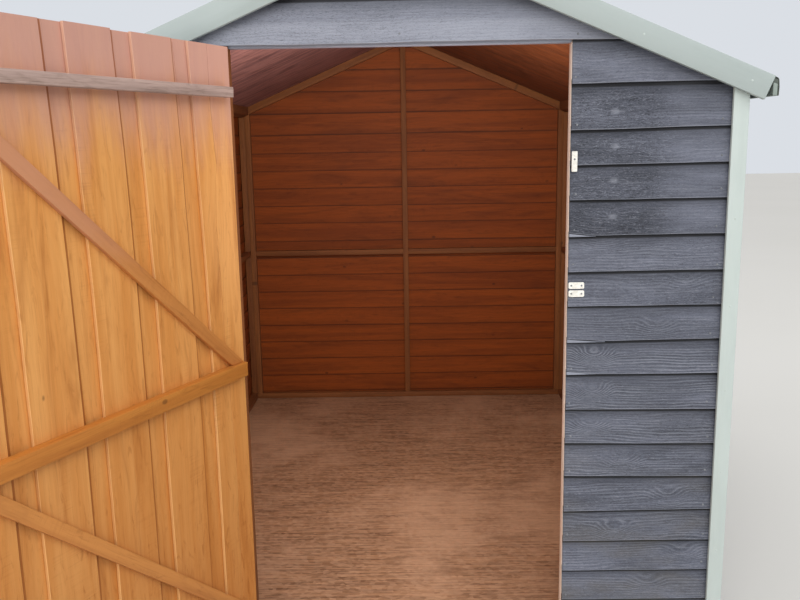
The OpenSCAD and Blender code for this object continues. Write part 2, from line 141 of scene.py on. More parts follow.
class Shade:
    """One material and the nodes that give its look."""

    def __init__(self, name: str) -> None:
        """Starts a material that holds one surface shader."""
        self.material = bpy.data.materials.new(name)
        self.material.use_nodes = True
        self.tree = self.material.node_tree
        self.surface = self.tree.nodes["Principled BSDF"]

    def feed(self, socket: bpy.types.NodeSocket, value: Value) -> None:
        """Links a Signal to an input socket, or sets the socket. A text is a colour code."""
        if isinstance(value, Signal):
            self.tree.links.new(value.socket, socket)
        else:
            socket.default_value = paint_chip(value) if isinstance(value, str) else value

    def node(self, kind: str, settings: dict[str, str] | None = None,
             inputs: dict[int | str, Value] | None = None, output: int | str = 0) -> Signal:
        """Adds a node.

        Args:
            kind: The node's type.
            settings: Its properties, set before its sockets.
            inputs: The value or Signal of each socket, by name or number.
            output: The output that is wanted, by name or number.

        Returns:
            That output as a Signal.
        """
        made = self.tree.nodes.new(kind)
        for key, value in (settings or {}).items():
            setattr(made, key, value)
        for key, value in (inputs or {}).items():
            self.feed(made.inputs[key], value)
        return Signal(self, made.outputs[output])

    def part(self, vector: Signal, axis: str) -> Signal:
        """Gives one of a vector's three numbers."""
        return self.node("ShaderNodeSeparateXYZ", inputs={0: vector}, output=axis)

    def place(self) -> Signal:
        """Gives the place on the shed at rest."""
        return self.node("ShaderNodeTexCoord", output="Object")

    def height(self) -> Signal:
        """Gives the height above the ground at rest."""
        return self.part(self.place(), "Z")

    def pattern(self) -> Signal:
        """Gives the place that this material's patterns are laid out by."""
        return self.place()

    def stretched(self, place: Signal, factors: Triple) -> Signal:
        """Scales a place by three factors."""
        return self.node("ShaderNodeVectorMath", {"operation": "MULTIPLY"}, {0: place, 1: factors})

    def cloud(self, factors: Triple, detail: float = 3.0, roughness: float = 0.55,
              distortion: float = 0.0, place: Signal | None = None) -> Signal:
        """Gives soft noise.

        Args:
            factors: How many features there are to a metre, along each axis.
            detail: How many finer layers there are.
            roughness: How strong the finer layers are.
            distortion: How far the pattern is bent.
            place: The place that it is laid out by, if not the material's own.

        Returns:
            A value about 0.5.
        """
        return self.node("ShaderNodeTexNoise", None,
                         {"Vector": self.stretched(place or self.pattern(), factors), "Scale": 1.0,
                          "Detail": detail, "Roughness": roughness, "Distortion": distortion},
                         "Fac")

    def cells(self, factors: Triple, channel: str, scatter: float = 1.0) -> tuple[Signal, Signal]:
        """Gives scattered cells.

        Args:
            factors: How many cells there are to a metre, along each axis.
            channel: The channel of each cell's random colour that gives its chance.
            scatter: How unevenly they lie.

        Returns:
            How far the nearest cell's heart is, and that cell's chance from 0 to 1.
        """
        near = self.node("ShaderNodeTexVoronoi", None,
                         {"Vector": self.stretched(self.pattern(), factors), "Scale": 1.0,
                          "Randomness": scatter}, "Distance")
        return near, self.node("ShaderNodeSeparateColor", inputs={0: near.output("Color")},
                               output=channel)

    def step(self, value: Signal, low: float, high: float) -> Signal:
        """Rises smoothly from 0 to 1 as a value goes from low to high."""
        return self.node("ShaderNodeMapRange", {"interpolation_type": "SMOOTHSTEP"},
                         {0: value, 1: low, 2: high, 3: 0.0, 4: 1.0})

    def fall(self, value: Signal, low: float, high: float) -> Signal:
        """Falls smoothly from 1 to 0 as a value goes from low to high."""
        return 1.0 - self.step(value, low, high)

    def mix(self, factor: Number, first: str | Signal, second: str | Signal) -> Signal:
        """Mixes two colours: a factor of 0 gives the first and 1 the second."""
        return self.node("ShaderNodeMix", {"data_type": "RGBA"},
                         {0: factor, 6: first, 7: second}, 2)

    def layers(self, colour: Signal, *coats: tuple[Number, str]) -> Signal:
        """Lays colours over a base colour, one after another.

        Args:
            colour: The base colour.
            coats: How far each coat hides what is under it, and its colour code.

        Returns:
            The mixed colour.
        """
        for factor, coat in coats:
            colour = self.mix(factor, colour, coat)
        return colour

    def bump(self, height: Signal, strength: float, depth: float) -> Signal:
        """Turns a height into a surface normal.

        Args:
            height: The height, from about 0 to 1.
            strength: How much of it shows.
            depth: What 1 is in metres.

        Returns:
            The normal.
        """
        return self.node("ShaderNodeBump", None,
                         {"Strength": strength, "Distance": depth, "Height": height})

    def coat(self, colour: Signal, roughness: Number, **others: Value) -> bpy.types.Material:
        """Feeds the surface shader and gives the material.

        Args:
            colour: The base colour.
            roughness: The roughness.
            others: Other sockets, by their names with underscores for spaces.

        Returns:
            The material.
        """
        for name, value in {"Base Color": colour, "Roughness": roughness, **others}.items():
            self.feed(self.surface.inputs[name.replace("_", " ")], value)
        return self.material


class Softwood(Shade):
    """A material with the figure of sawn softwood: fibres, growth rings and knots.

    Its patterns follow the place in the timber: along, across and through it.
    """

    def __init__(self, name: str, rings_per_metre: float = 90.0, warp: float = 40.0) -> None:
        """Starts the material.

        Args:
            name: The material's name.
            rings_per_metre: How close its growth rings lie.
            warp: How far they wander.
        """
        super().__init__(name)
        self.rings_per_metre = rings_per_metre
        self.warp = warp

    def stored(self, name: str) -> Signal:
        """Gives what the mesh stores at each vertex under a name."""
        return self.node("ShaderNodeAttribute", {"attribute_name": name}, output="Vector")

    def pattern(self) -> Signal:
        """Gives the place in the timber."""
        return self.stored("grain")

    def mark(self, axis: str) -> Signal:
        """Gives a mark: X for the tone, Y for the height in the board, Z for how rough it is."""
        return self.part(self.stored("mark"), axis)

    def fibres(self) -> Signal:
        """Gives fine fibres along the timber."""
        return self.cloud((9.0, 330.0, 330.0), 3.5, 0.65, 0.3)

    def streaks(self) -> Signal:
        """Gives broad streaks along the timber."""
        return self.cloud((1.3, 27.0, 27.0), 3.0, 0.55, 0.5)

    def saw_marks(self) -> Signal:
        """Gives faint marks of the saw across the timber."""
        return self.cloud((260.0, 5.0, 5.0), 1.0)

    def knotty(self) -> Signal:
        """Gives how strong the timber's main knot is, from 0 to 1."""
        return self.part(self.stored("knot"), "Z")

    def knot(self, inner: float, outer: float) -> Signal:
        """Gives 1 in the main knot's heart, which fades from an inner to an outer radius."""
        place = self.stretched(self.stored("knot"), (0.62, 1.0, 0.0))
        away = self.node("ShaderNodeVectorMath", {"operation": "LENGTH"}, {0: place}, "Value")
        return self.fall(away, inner, outer)

    def pins(self) -> Signal:
        """Gives 1 in the small pin knots that are scattered along the timber."""
        near, chance = self.cells((4.6, 8.0, 0.01), "Red", 0.9)
        return self.fall(near, 0.018, 0.045) * self.step(chance, 0.55, 0.6)

    def rings(self) -> Signal:
        """Gives growth rings that run along the timber and close round its main knot."""
        warp = self.cloud((2.2, 9.0, 9.0), 3.0, 0.58, 0.4)
        turn = (self.part(self.pattern(), "Y") * (self.rings_per_metre * math.tau)
                + warp * self.warp + self.knot(0.0, 0.045) * self.knotty() * 32.0)
        wave = self.node("ShaderNodeMath", {"operation": "SINE"}, {0: turn})
        return wave * 0.5 + 0.5


@dataclass(frozen=True)
class BoardPaint:
    """Weathered garden paint on rough boards, with the raised grain rubbed paler."""

    name: str
    pit_and_lap_shadow: str
    deep: str
    body: str
    worn: str
    earth: str

    def material(self) -> bpy.types.Material:
        """Builds the finish."""
        wood = Softwood(self.name, 120.0, 34.0)
        tone, rise, rough = (wood.mark(axis) for axis in "XYZ")
        fibres, rings, ringed = wood.fibres(), wood.rings(), wood.knotty()
        dashes = wood.cloud((80.0, 330.0, 330.0), 2.5, 0.62, 1.8)
        broad = wood.step(wood.cloud((2.6, 13.0, 13.0), 3.5, 0.62, 0.6), 0.3, 0.7)
        patch = wood.step(wood.cloud((4.0, 22.0, 22.0), 2.0), 0.36, 0.6)
        splashed = wood.step(wood.cloud((4.0, 4.0, 9.0), 4.0, place=wood.place()), 0.4, 0.7)
        brushed = broad * 0.5 + tone * 0.3 + (1.0 - rough) * 0.34 - 0.06
        upper = wood.step(rise + broad * 0.14, 0.5, 0.62)
        colour = wood.layers(
            wood.mix(brushed, self.deep, self.body),
            # Painted sheen on boards toned above 1, fainter at their tops; then each ring's rubbed
            # ridge and dark hollow.
            ((tone - 1.0) * (broad * 0.5 + 0.7) * (1.0 - upper * 0.5), self.worn),
            (wood.step(rings, 0.6, 1.0) * patch * (ringed * 0.24 + 0.03), self.worn),
            (wood.fall(rings, 0.0, 0.4) * patch * (ringed * 0.42 + 0.06), self.deep),
            # The pits and flecks of rough places, the fibres, and a scuffed knot.
            (wood.fall(dashes, 0.34, 0.48) * (rough * 0.6 + 0.18), self.pit_and_lap_shadow),
            (wood.step(dashes, 0.54, 0.7) * (rough * 0.22 + 0.16), self.worn),
            (wood.step(fibres, 0.5, 0.74) * 0.2, self.worn),
            (wood.knot(0.002, 0.011) * rough * rough * 0.3, self.worn),
            # The paler lower edge, a painted highlight, then painted shade and a painted shadow line
            # under the next board.
            (wood.fall(rise, 0.01, 0.03) * 0.4, self.worn),
            (wood.step(rise, 0.6, 0.95) * 0.55, self.deep),
            (wood.step(rise, 0.895, 0.935) * 0.9, self.pit_and_lap_shadow),
            # Earth splashed up from the ground.
            (wood.fall(wood.height(), 0.05, 0.9) * splashed * 0.4, self.earth))
        relief = fibres * 0.3 + rings * (ringed * 0.4 + 0.1) + dashes * (rough * 0.9 + 0.15)
        return wood.coat(colour, rough * 0.14 + dashes * 0.12 + 0.5,
                         Normal=wood.bump(relief, 0.7, 0.0018), Specular_IOR_Level=0.32)


@dataclass(frozen=True)
class TrimPaint:
    """Smooth pale garden paint on planed trim, a little grubby and thin at places."""

    name: str
    body: str
    shadow: str
    wood: str

    def material(self) -> bpy.types.Material:
        """Builds the finish."""
        wood = Softwood(self.name)
        fibres, grime = wood.fibres(), wood.cloud((3.0, 18.0, 18.0), 4.0, 0.6)
        grubby = wood.step(grime, 0.4, 0.8) * 0.4 + wood.streaks() * 0.2
        thin = wood.step(grime * 0.6 + fibres * 0.5, 0.75, 0.84)
        colour = wood.layers(wood.mix(grubby, self.body, self.shadow), (thin * 0.35, self.wood))
        return wood.coat(colour, fibres * 0.2 + 0.42, Normal=wood.bump(fibres, 0.25, 0.0007))


@dataclass(frozen=True)
class TimberFinish:
    """Bare or stained sawn softwood with its figure showing.

    It fades from a height up, which is above the shed for a finish that doesn't fade.
    """

    name: str
    pale: str
    body: str
    dark: str
    knot: str
    faded: str
    fade_from: float
    ring_share: float
    fibre_share: float
    stain_share: float
    low_share: float
    sheen: float

    def material(self) -> bpy.types.Material:
        """Builds the finish."""
        wood = Softwood(self.name, 52.0, 46.0)
        fibres, rings, pins, saw_marks = wood.fibres(), wood.rings(), wood.pins(), wood.saw_marks()
        share, blotch = wood.mark("Y"), wood.cloud((3.0, 12.0, 12.0), 4.0, 0.6)
        broad = wood.mark("X") * 0.35 + wood.step(wood.streaks(), 0.32, 0.68) * 0.65
        stain = wood.step(wood.cloud((2.1, 15.0, 15.0), 4.5, 0.68, 0.9), 0.5, 0.74)
        mottle = wood.step(wood.cloud((13.0, 62.0, 62.0), 3.0, 0.6, 1.2), 0.54, 0.74)
        sawn = wood.fall(saw_marks, 0.32, 0.5) * wood.step(blotch, 0.5, 0.7) * 0.14
        low = wood.fall(wood.height(), 0.1, 1.35)
        high = wood.step(wood.height() + blotch * 0.3, self.fade_from + 0.12, self.fade_from + 0.42)
        # A painted shadow line just above where the board below ends, on the inside of a lapped wall.
        lap_shadow = wood.step(share, 0.1, 0.125) - wood.step(share, 0.14, 0.21)
        colour = wood.layers(
            wood.mix(broad, self.pale, self.body),
            # The figure, and the stains, mottle, saw marks and darker foot.
            (rings * self.ring_share, self.dark),
            (wood.step(fibres, 0.5, 0.74) * self.fibre_share, self.dark),
            (stain * self.stain_share, self.dark),
            (mottle * 0.28 + sawn + low * self.low_share, self.dark),
            # The faded top, and the main knot and the pin knots.
            (high * 0.85, self.faded),
            (wood.knot(0.004, 0.0075) * wood.knotty() * 0.65, self.knot),
            (pins * 0.6, self.knot),
            # The painted shade in the crease beside a door board, and the painted shadow line above
            # the lap inside a lapped board.
            (wood.step(share, 1.4, 2.4) * (blotch * 0.5 + 0.5), self.dark),
            (lap_shadow * 0.6, self.knot))
        relief = fibres * 0.45 + rings * 0.12 + saw_marks * 0.3 - pins * 0.25
        return wood.coat(colour, fibres * 0.2 + self.sheen,
                         Normal=wood.bump(relief, 0.4, 0.0012), Specular_IOR_Level=0.35)


@dataclass(frozen=True)
class SheetFinish:
    """Chipboard or strand board: chips, long streaks and worn or dirty places."""

    name: str
    pale: str
    body: str
    dark: str
    streak: Triple
    chip: Triple
    wear: float
    end: str = ""
    end_y: float = 1.23

    def material(self) -> bpy.types.Material:
        """Builds the finish, with the sheet's front and back ends in their own colour."""
        shade = Shade(self.name)
        streaks = shade.cloud(self.streak, 5.0, 0.68, 0.6)
        chips, speck = shade.cells(self.chip, "Green")
        scrubbed = shade.step(shade.cloud((1.4, 1.1, 1.4), 4.0, 0.6), 0.45, 0.68)
        soiled = shade.step(shade.cloud((3.0, 4.5, 3.0), 5.0, 0.7), 0.55, 0.75)
        coats = [(speck * 0.4, self.pale), (scrubbed * self.wear, self.pale),
                 (soiled * 0.5, self.dark)]
        if self.end:
            away = shade.node("ShaderNodeMath", {"operation": "ABSOLUTE"},
                              {0: shade.part(shade.place(), "Y")})
            coats.append((shade.step(away, self.end_y - 0.001, self.end_y + 0.001), self.end))
        colour = shade.layers(shade.mix(shade.step(streaks, 0.38, 0.6), self.dark, self.body),
                              *coats)
        return shade.coat(colour, speck * 0.2 + 0.6,
                          Normal=shade.bump(streaks * 0.6 + chips * 0.4, 0.4, 0.001))


@dataclass(frozen=True)
class MineralFelt:
    """Green-grey roofing felt faced with fine mineral."""

    name: str = "green_mineral_felt"
    body: str = "475048"
    grit: str = "6f776c"
    shadow: str = "323833"
    lichen: str = "5d6449"

    def material(self) -> bpy.types.Material:
        """Builds the finish."""
        shade = Shade(self.name)
        grit = shade.cloud((900.0, 900.0, 900.0), 2.0, 0.7)
        wash = shade.step(shade.cloud((1.2, 7.0, 1.2), 5.0, 0.65), 0.3, 0.75)
        spots = shade.step(shade.cloud((17.0, 17.0, 17.0), 4.0, 0.7), 0.6, 0.68)
        colour = shade.layers(shade.mix(wash, self.shadow, self.body),
                              (shade.step(grit, 0.45, 0.75) * 0.6, self.grit),
                              (spots * 0.6, self.lichen))
        return shade.coat(colour, 0.88, Normal=shade.bump(grit, 0.6, 0.0012))


@dataclass(frozen=True)
class Metal:
    """Plated steel, dulled and spotted by the weather."""

    name: str
    bright: str
    dull: str
    metallic: float
    roughness: float

    def material(self) -> bpy.types.Material:
        """Builds the finish."""
        shade = Shade(self.name)
        spangle = shade.cloud((90.0, 90.0, 90.0), 4.0, 0.7)
        marks = shade.cloud((420.0, 420.0, 420.0), 2.0)
        return shade.coat(shade.mix(shade.step(spangle, 0.4, 0.72), self.bright, self.dull),
                          spangle * 0.25 + self.roughness,
                          Normal=shade.bump(marks, 0.2, 0.0003), Metallic=self.metallic)


class Finish(Enum):
    """The finishes of the shed's pieces."""

    BOARD_PAINT = BoardPaint("blue_grey_board_paint", "131418", "363943", "6d7180", "a0a4b0",
                             "5d5646")
    TRIM_PAINT = TrimPaint("pale_green_trim_paint", "bac4c1", "a7b2af", "9a9184")
    # A darker copy of the trim paint for the bargeboards: painted shade.
    BARGE_PAINT = TrimPaint("darker_green_trim_paint", "a5afae", "929d9a", "8b8477")
    HEADER_PAINT = TrimPaint("shaded_header_paint", "a3a8b8", "9095a4", "7d7060")
    EAVES_PAINT = TrimPaint("shaded_eaves_paint", "8b9791", "727d78", "6b6357")
    BARE_TIMBER = TimberFinish("bare_sawn_timber", "98480a", "783505", "481e02", "241001",
                               "98480a", 9.0, 0.12, 0.25, 0.4, 0.0, 0.6)
    FRAME_TIMBER = TimberFinish("bare_frame_timber", "925a2e", "74421f", "4b2410", "31170a",
                                "925a2e", 9.0, 0.1, 0.2, 0.3, 0.0, 0.6)
    # A much paler copy of the frame timber for the right doorpost: painted light.
    POST_TIMBER = TimberFinish("painted_light_post_timber", "fdeee2", "f8dfcc", "d8ae90", "77502f",
                               "fdeee2", 9.0, 0.08, 0.12, 0.2, 0.0, 0.6)
    DOOR_STAIN = TimberFinish("honey_door_stain", "e8a75f", "d38a41", "975012", "552c0f",
                              "c8998e", 1.45, 0.06, 0.2, 0.45, 0.5, 0.5)
    # A paler stain on the far edges of the door's inner boards: a painted highlight.
    EDGE_STAIN = TimberFinish("painted_highlight_edge_stain", "e8b578", "daa064", "ac7434", "7a4a20",
                              "cda190", 1.45, 0.05, 0.2, 0.3, 0.2, 0.5)
    LEDGE_STAIN = TimberFinish("deep_ledge_stain", "c98438", "b06a28", "7f4612", "4d290c",
                               "d0893c", 9.0, 0.06, 0.3, 0.35, 0.1, 0.52)
    BRACE_STAIN = TimberFinish("faded_brace_stain", "cf8b48", "b77236", "854a1c", "55300f",
                               "c58a68", 1.2, 0.06, 0.28, 0.35, 0.1, 0.52)
    WEATHERED = TimberFinish("grey_weathered_timber", "c2a79c", "a28a82", "665246", "3f3027",
                             "c2a79c", 9.0, 0.08, 0.5, 0.6, 0.0, 0.7)
    STRAND_DECK = SheetFinish("strand_board_deck", "9e5424", "6e350d", "3a1704",
                              (3.2, 38.0, 3.2), (14.0, 90.0, 14.0), 0.2, "565d58")
    # A paler, pinker copy of the strand deck for the left slope: painted light.
    PALE_DECK = SheetFinish("painted_light_strand_deck", "bd8580", "8f625c", "523235",
                            (3.2, 38.0, 3.2), (14.0, 90.0, 14.0), 0.25, "565d58")
    CHIP_FLOOR = SheetFinish("worn_chipboard_floor", "cba07f", "a27756", "6f4b33",
                             (6.0, 120.0, 6.0), (60.0, 110.0, 60.0), 0.55)
    FELT = MineralFelt()
    ZINC = Metal("dulled_zinc", "c9cbcd", "8d9092", 0.85, 0.38)
    KEEP_PLATE = Metal("white_keep_plate", "ebe9e2", "cfccc4", 0.1, 0.4)
    NAIL = Metal("weathered_nail_head", "85888e", "5c5f65", 0.45, 0.55)

    def stuff(self) -> bpy.types.Material:
        """Gives the finish's material, made the first time that it is asked for."""
        return bpy.data.materials.get(self.value.name) or self.value.material()


class Facing(Enum):
    """The way that a wall faces, as its turn from the front, in degrees."""

    FRONT = 0
    RIGHT = 90
    BACK = 180
    LEFT = -90


class Head(Enum):
    """The round heads of the fasteners: their radius and rise."""

    BOARD_NAIL = (0.003, 0.0011)
    TRIM_NAIL = (0.003, 0.001)
    FELT_TACK = (0.005, 0.0014)
    HINGE_SCREW = (0.0042, 0.0014)
    UPPER_KEEP_SCREW = (0.0028, 0.0008)
    LOWER_KEEP_SCREW = (0.0026, 0.0008)


@dataclass
class Spot:
    """One vertex: its place on the shed, and what its timber is like there."""

    place: Vector
    grain: Vector
    mark: Triple = (0.5, 0.0, 0.2)
    knot: Triple = (9.0, 9.0, 0.0)


def dress(mesh: bpy.types.Mesh, finishes: Sequence[Finish], spots: Sequence[Spot]) -> None:
    """Gives a mesh its finishes, and what its timber is like at each vertex.

    Args:
        mesh: The mesh.
        finishes: The finish of each material slot.
        spots: The mesh's vertices, in their order.
    """
    for finish in finishes:
        mesh.materials.append(finish.stuff())
    for name in ("grain", "mark", "knot"):
        layer = mesh.attributes.new(name, "FLOAT_VECTOR", "POINT")
        layer.data.foreach_set("vector", [c for spot in spots for c in getattr(spot, name)])


def place_piece(mesh: bpy.types.Mesh, name: str, body: str, slot: str,
                stands_for: Sequence[str] = ()) -> None:
    """Links a mesh to the scene as a piece of the shed.

    Args:
        mesh: The finished mesh, in the shed's own frame.
        name: The piece's name.
        body: The body that it rides on.
        slot: The record's material slot; not used.
        stands_for: The nodes that it replaces.
    """
    mesh.set_sharp_from_angle(angle=SHARP_ANGLE)
    mesh.polygons.foreach_set("use_smooth", [True] * len(mesh.polygons))
    made = link(name, mesh)
    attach(made, body)
    if stands_for:
        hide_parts(*stands_for)
    LOG.info("%s: %d faces", name, len(mesh.polygons))


@dataclass
class MeshMaker:
    """Collects the vertices and faces of one piece."""

    spots: list[Spot] = field(default_factory=list)
    faces: list[tuple[int, ...]] = field(default_factory=list)
    slots: list[int] = field(default_factory=list)

    def loft(self, rings: Sequence[Sequence[Spot]], slots: Sequence[int]) -> None:
        """Adds a closed bar through rings of vertices, with a cap at each end.

        Args:
            rings: The rings, each with as many vertices.
            slots: The material slot of each side between two vertices of a ring, then the caps'.
        """
        start, count = len(self.spots), len(rings[0])
        for ring in rings:
            self.spots.extend(ring)
        last = len(self.spots) - count
        for first in range(start, last, count):
            for j in range(count):
                a, b = first + j, first + (j + 1) % count
                self.faces.append((a, b, b + count, a + count))
                self.slots.append(slots[j])
        self.faces.append(tuple(range(start + count - 1, start - 1, -1)))
        self.faces.append(tuple(range(last, last + count)))
        self.slots.extend([slots[count]] * 2)

    def bar(self, rings: Sequence[Sequence[Vector]]) -> None:
        """Adds a closed bar of the first finish, through rings of places."""
        self.loft([[Spot(place, place) for place in ring] for ring in rings],
                  [0] * (len(rings[0]) + 1))

    def dome(self, centre: Vector, out: Vector, head: Head, sides: int = 10) -> None:
        """Adds a fastener's low round head.

        Args:
            centre: The middle of its foot.
            out: The way that it faces.
            head: Which head it is.
            sides: The number of its sides.
        """
        radius, rise = head.value
        turn = out.to_track_quat("Z", "Y")
        angles = [math.tau * k / sides for k in range(sides)]
        self.bar([[centre + turn @ Vector((math.cos(angle) * radius * share,
                                           math.sin(angle) * radius * share, rise * lift))
                   for angle in angles]
                  for share, lift in ((1.0, -0.25), (1.0, 0.45), (0.7, 1.0))])

    def plate(self, centre: Vector, out: Vector, size: Triple, radius: float,
              ease: float = 0.0006) -> None:
        """Adds a flat plate with rounded corners and an eased front edge.

        Args:
            centre: The middle of its back.
            out: The way that it faces, roughly level.
            size: Its width, height and thickness.
            radius: The radius of its corners.
            ease: How far its front edge is eased.
        """
        across = Vector((0.0, 0.0, 1.0)).cross(out).normalized()
        upward = out.cross(across).normalized()
        rings = []
        for inset, level in ((0.0, 0.0), (0.0, size[2] - ease), (ease, size[2])):
            ring = []
            for corner, (side, end) in enumerate(((1, 1), (-1, 1), (-1, -1), (1, -1))):
                for k in range(4):
                    angle = math.pi / 2 * (corner + k / 3)
                    x = side * (size[0] / 2 - radius) + (radius - inset) * math.cos(angle)
                    y = end * (size[1] / 2 - radius) + (radius - inset) * math.sin(angle)
                    ring.append(centre + across * x + upward * y + out * level)
            rings.append(ring)
        self.bar(rings)

    def piece(self, name: str, body: str, finishes: Sequence[Finish], slot: str,
              stands_for: Sequence[str] = ()) -> None:
        """Makes the object and ties it to its body.

        Args:
            name: The piece's name.
            body: The body that it rides on.
            finishes: The finish of each material slot.
            slot: The record's material slot.
            stands_for: The nodes that it replaces.
        """
        mesh = bpy.data.meshes.new(name)
        mesh.from_pydata([tuple(spot.place) for spot in self.spots], [], self.faces)
        dress(mesh, finishes, self.spots)
        mesh.polygons.foreach_set("material_index", self.slots)
        work = bmesh.new()
        work.from_mesh(mesh)
        bmesh.ops.recalc_face_normals(work, faces=work.faces)
        work.to_mesh(mesh)
        work.free()
        place_piece(mesh, name, body, slot, stands_for)


@dataclass(frozen=True)
class Outline:
    """The shed's main lines, taken from the frame.

    The head is the doorway's, low_z is the lowest board's lower edge, frame_x and frame_y are half
    the width and depth over the framing, and opening_x is half the width between the front boards.
    """

    pitch: float = math.radians(23.0)
    board_t: float = 0.008
    board_pitch: float = 0.097
    wide_pitch: float = 0.114
    lap: float = 0.012
    head_z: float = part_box("front_gable_cladding")[0].z
    low_z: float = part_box("back_cladding")[0].z
    frame_x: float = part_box("front_cladding_right")[1].x
    frame_y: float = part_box("right_frame")[1].y
    opening_x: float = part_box("front_cladding_right")[0].x

    @property
    def clad_t(self) -> float:
        """The depth of two lapped boards."""
        return 2 * self.board_t

    @property
    def rise(self) -> float:
        """The roof's rise for each metre across."""
        return math.tan(self.pitch)

    @property
    def peak_z(self) -> float:
        """The height of the deck's underside at the ridge."""
        low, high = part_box("roof_deck_right")
        return low.z + self.rise * high.x

    def courses(self) -> list[float]:
        """The heights of the boards' lower edges, from the ground up."""
        wide_z = self.head_z - 2 * self.wide_pitch
        lower = math.ceil((wide_z - self.low_z) / self.board_pitch - 1e-6)
        edges = [max(self.low_z, wide_z - i * self.board_pitch) for i in range(lower, 0, -1)]
        upper = math.ceil((self.peak_z - wide_z) / self.wide_pitch)
        return edges + [wide_z + i * self.wide_pitch for i in range(upper + 1)]


@dataclass(frozen=True)
class BoardHabit:
    """How one board differs from a straight and even one.

    Its left and right ends rise, its knot lies along and up it, it is rough at its two ends, and
    it may be split, ringed or of another tone.
    """

    left: float
    right: float
    knot: Pair
    rough: Pair
    split: float
    ringed: float
    tone: float
    turn_at: float = 0.45
    turn_over: float = 0.22

    def shift(self, share: float) -> float:
        """Gives the rise of its lower edge, a share of the way from left to right."""
        return self.left + (self.right - self.left) * share

    def roughness(self, share: float) -> float:
        """Gives how rough it is, a share of the way from left to right."""
        turn = min(max((share - self.turn_at) / self.turn_over, 0.0), 1.0)
        return self.rough[0] + (self.rough[1] - self.rough[0]) * turn * turn * (3 - 2 * turn)


# From the top board down: the rise of each end, the knot's place, how rough each end is, the split's
# length, how strong the rings are, and the tone.
RIGHT_OF_DOOR = tuple(BoardHabit(*row) for row in (
    (0.002, 0.004, (0.52, 0.060), (0.35, 0.2), 0.0, 0.2, 0.95),
    (-0.005, 0.002, (0.568, 0.046), (1.0, 0.15), 0.0, 0.3, 0.2),
    (0.001, 0.005, (0.571, 0.047), (1.0, 0.12), 0.0, 0.1, 0.3),
    (0.005, 0.007, (0.569, 0.050), (1.0, 0.15), 0.0, 0.1, 0.2),
    (0.004, 0.007, (0.569, 0.051), (1.0, 0.15), 0.072, 0.1, 0.2),
    (0.003, 0.005, (0.547, 0.084), (0.35, 0.5), 0.0, 0.4, 0.6),
    (0.005, 0.005, (0.776, 0.062), (0.4, 0.5), 0.0, 0.4, 0.4),
    (0.000, 0.006, (0.700, 0.040), (0.3, 0.3), 0.105, 0.5, 0.35),
    (0.005, 0.003, (0.529, 0.055), (0.3, 0.25), 0.082, 1.0, 0.25),
    (0.000, -0.005, (0.525, 0.052), (0.3, 0.25), 0.0, 1.0, 0.2),
    (-0.004, -0.009, (0.522, 0.055), (0.3, 0.5), 0.0, 0.8, 0.1),
    (-0.006, -0.011, (0.62, 0.05), (0.4, 0.4), 0.0, 0.7, 0.1),
    (-0.017, -0.014, (0.75, 0.04), (0.4, 0.4), 0.0, 0.6, 0.1),
    (-0.012, -0.012, (0.6, 0.03), (0.4, 0.4), 0.0, 0.7, 0.1),
    (-0.008, -0.008, (0.8, 0.05), (0.3, 0.3), 0.0, 0.6, 0.4),
    (-0.004, -0.004, (0.7, 0.05), (0.3, 0.3), 0.0, 0.5, 0.4),
))


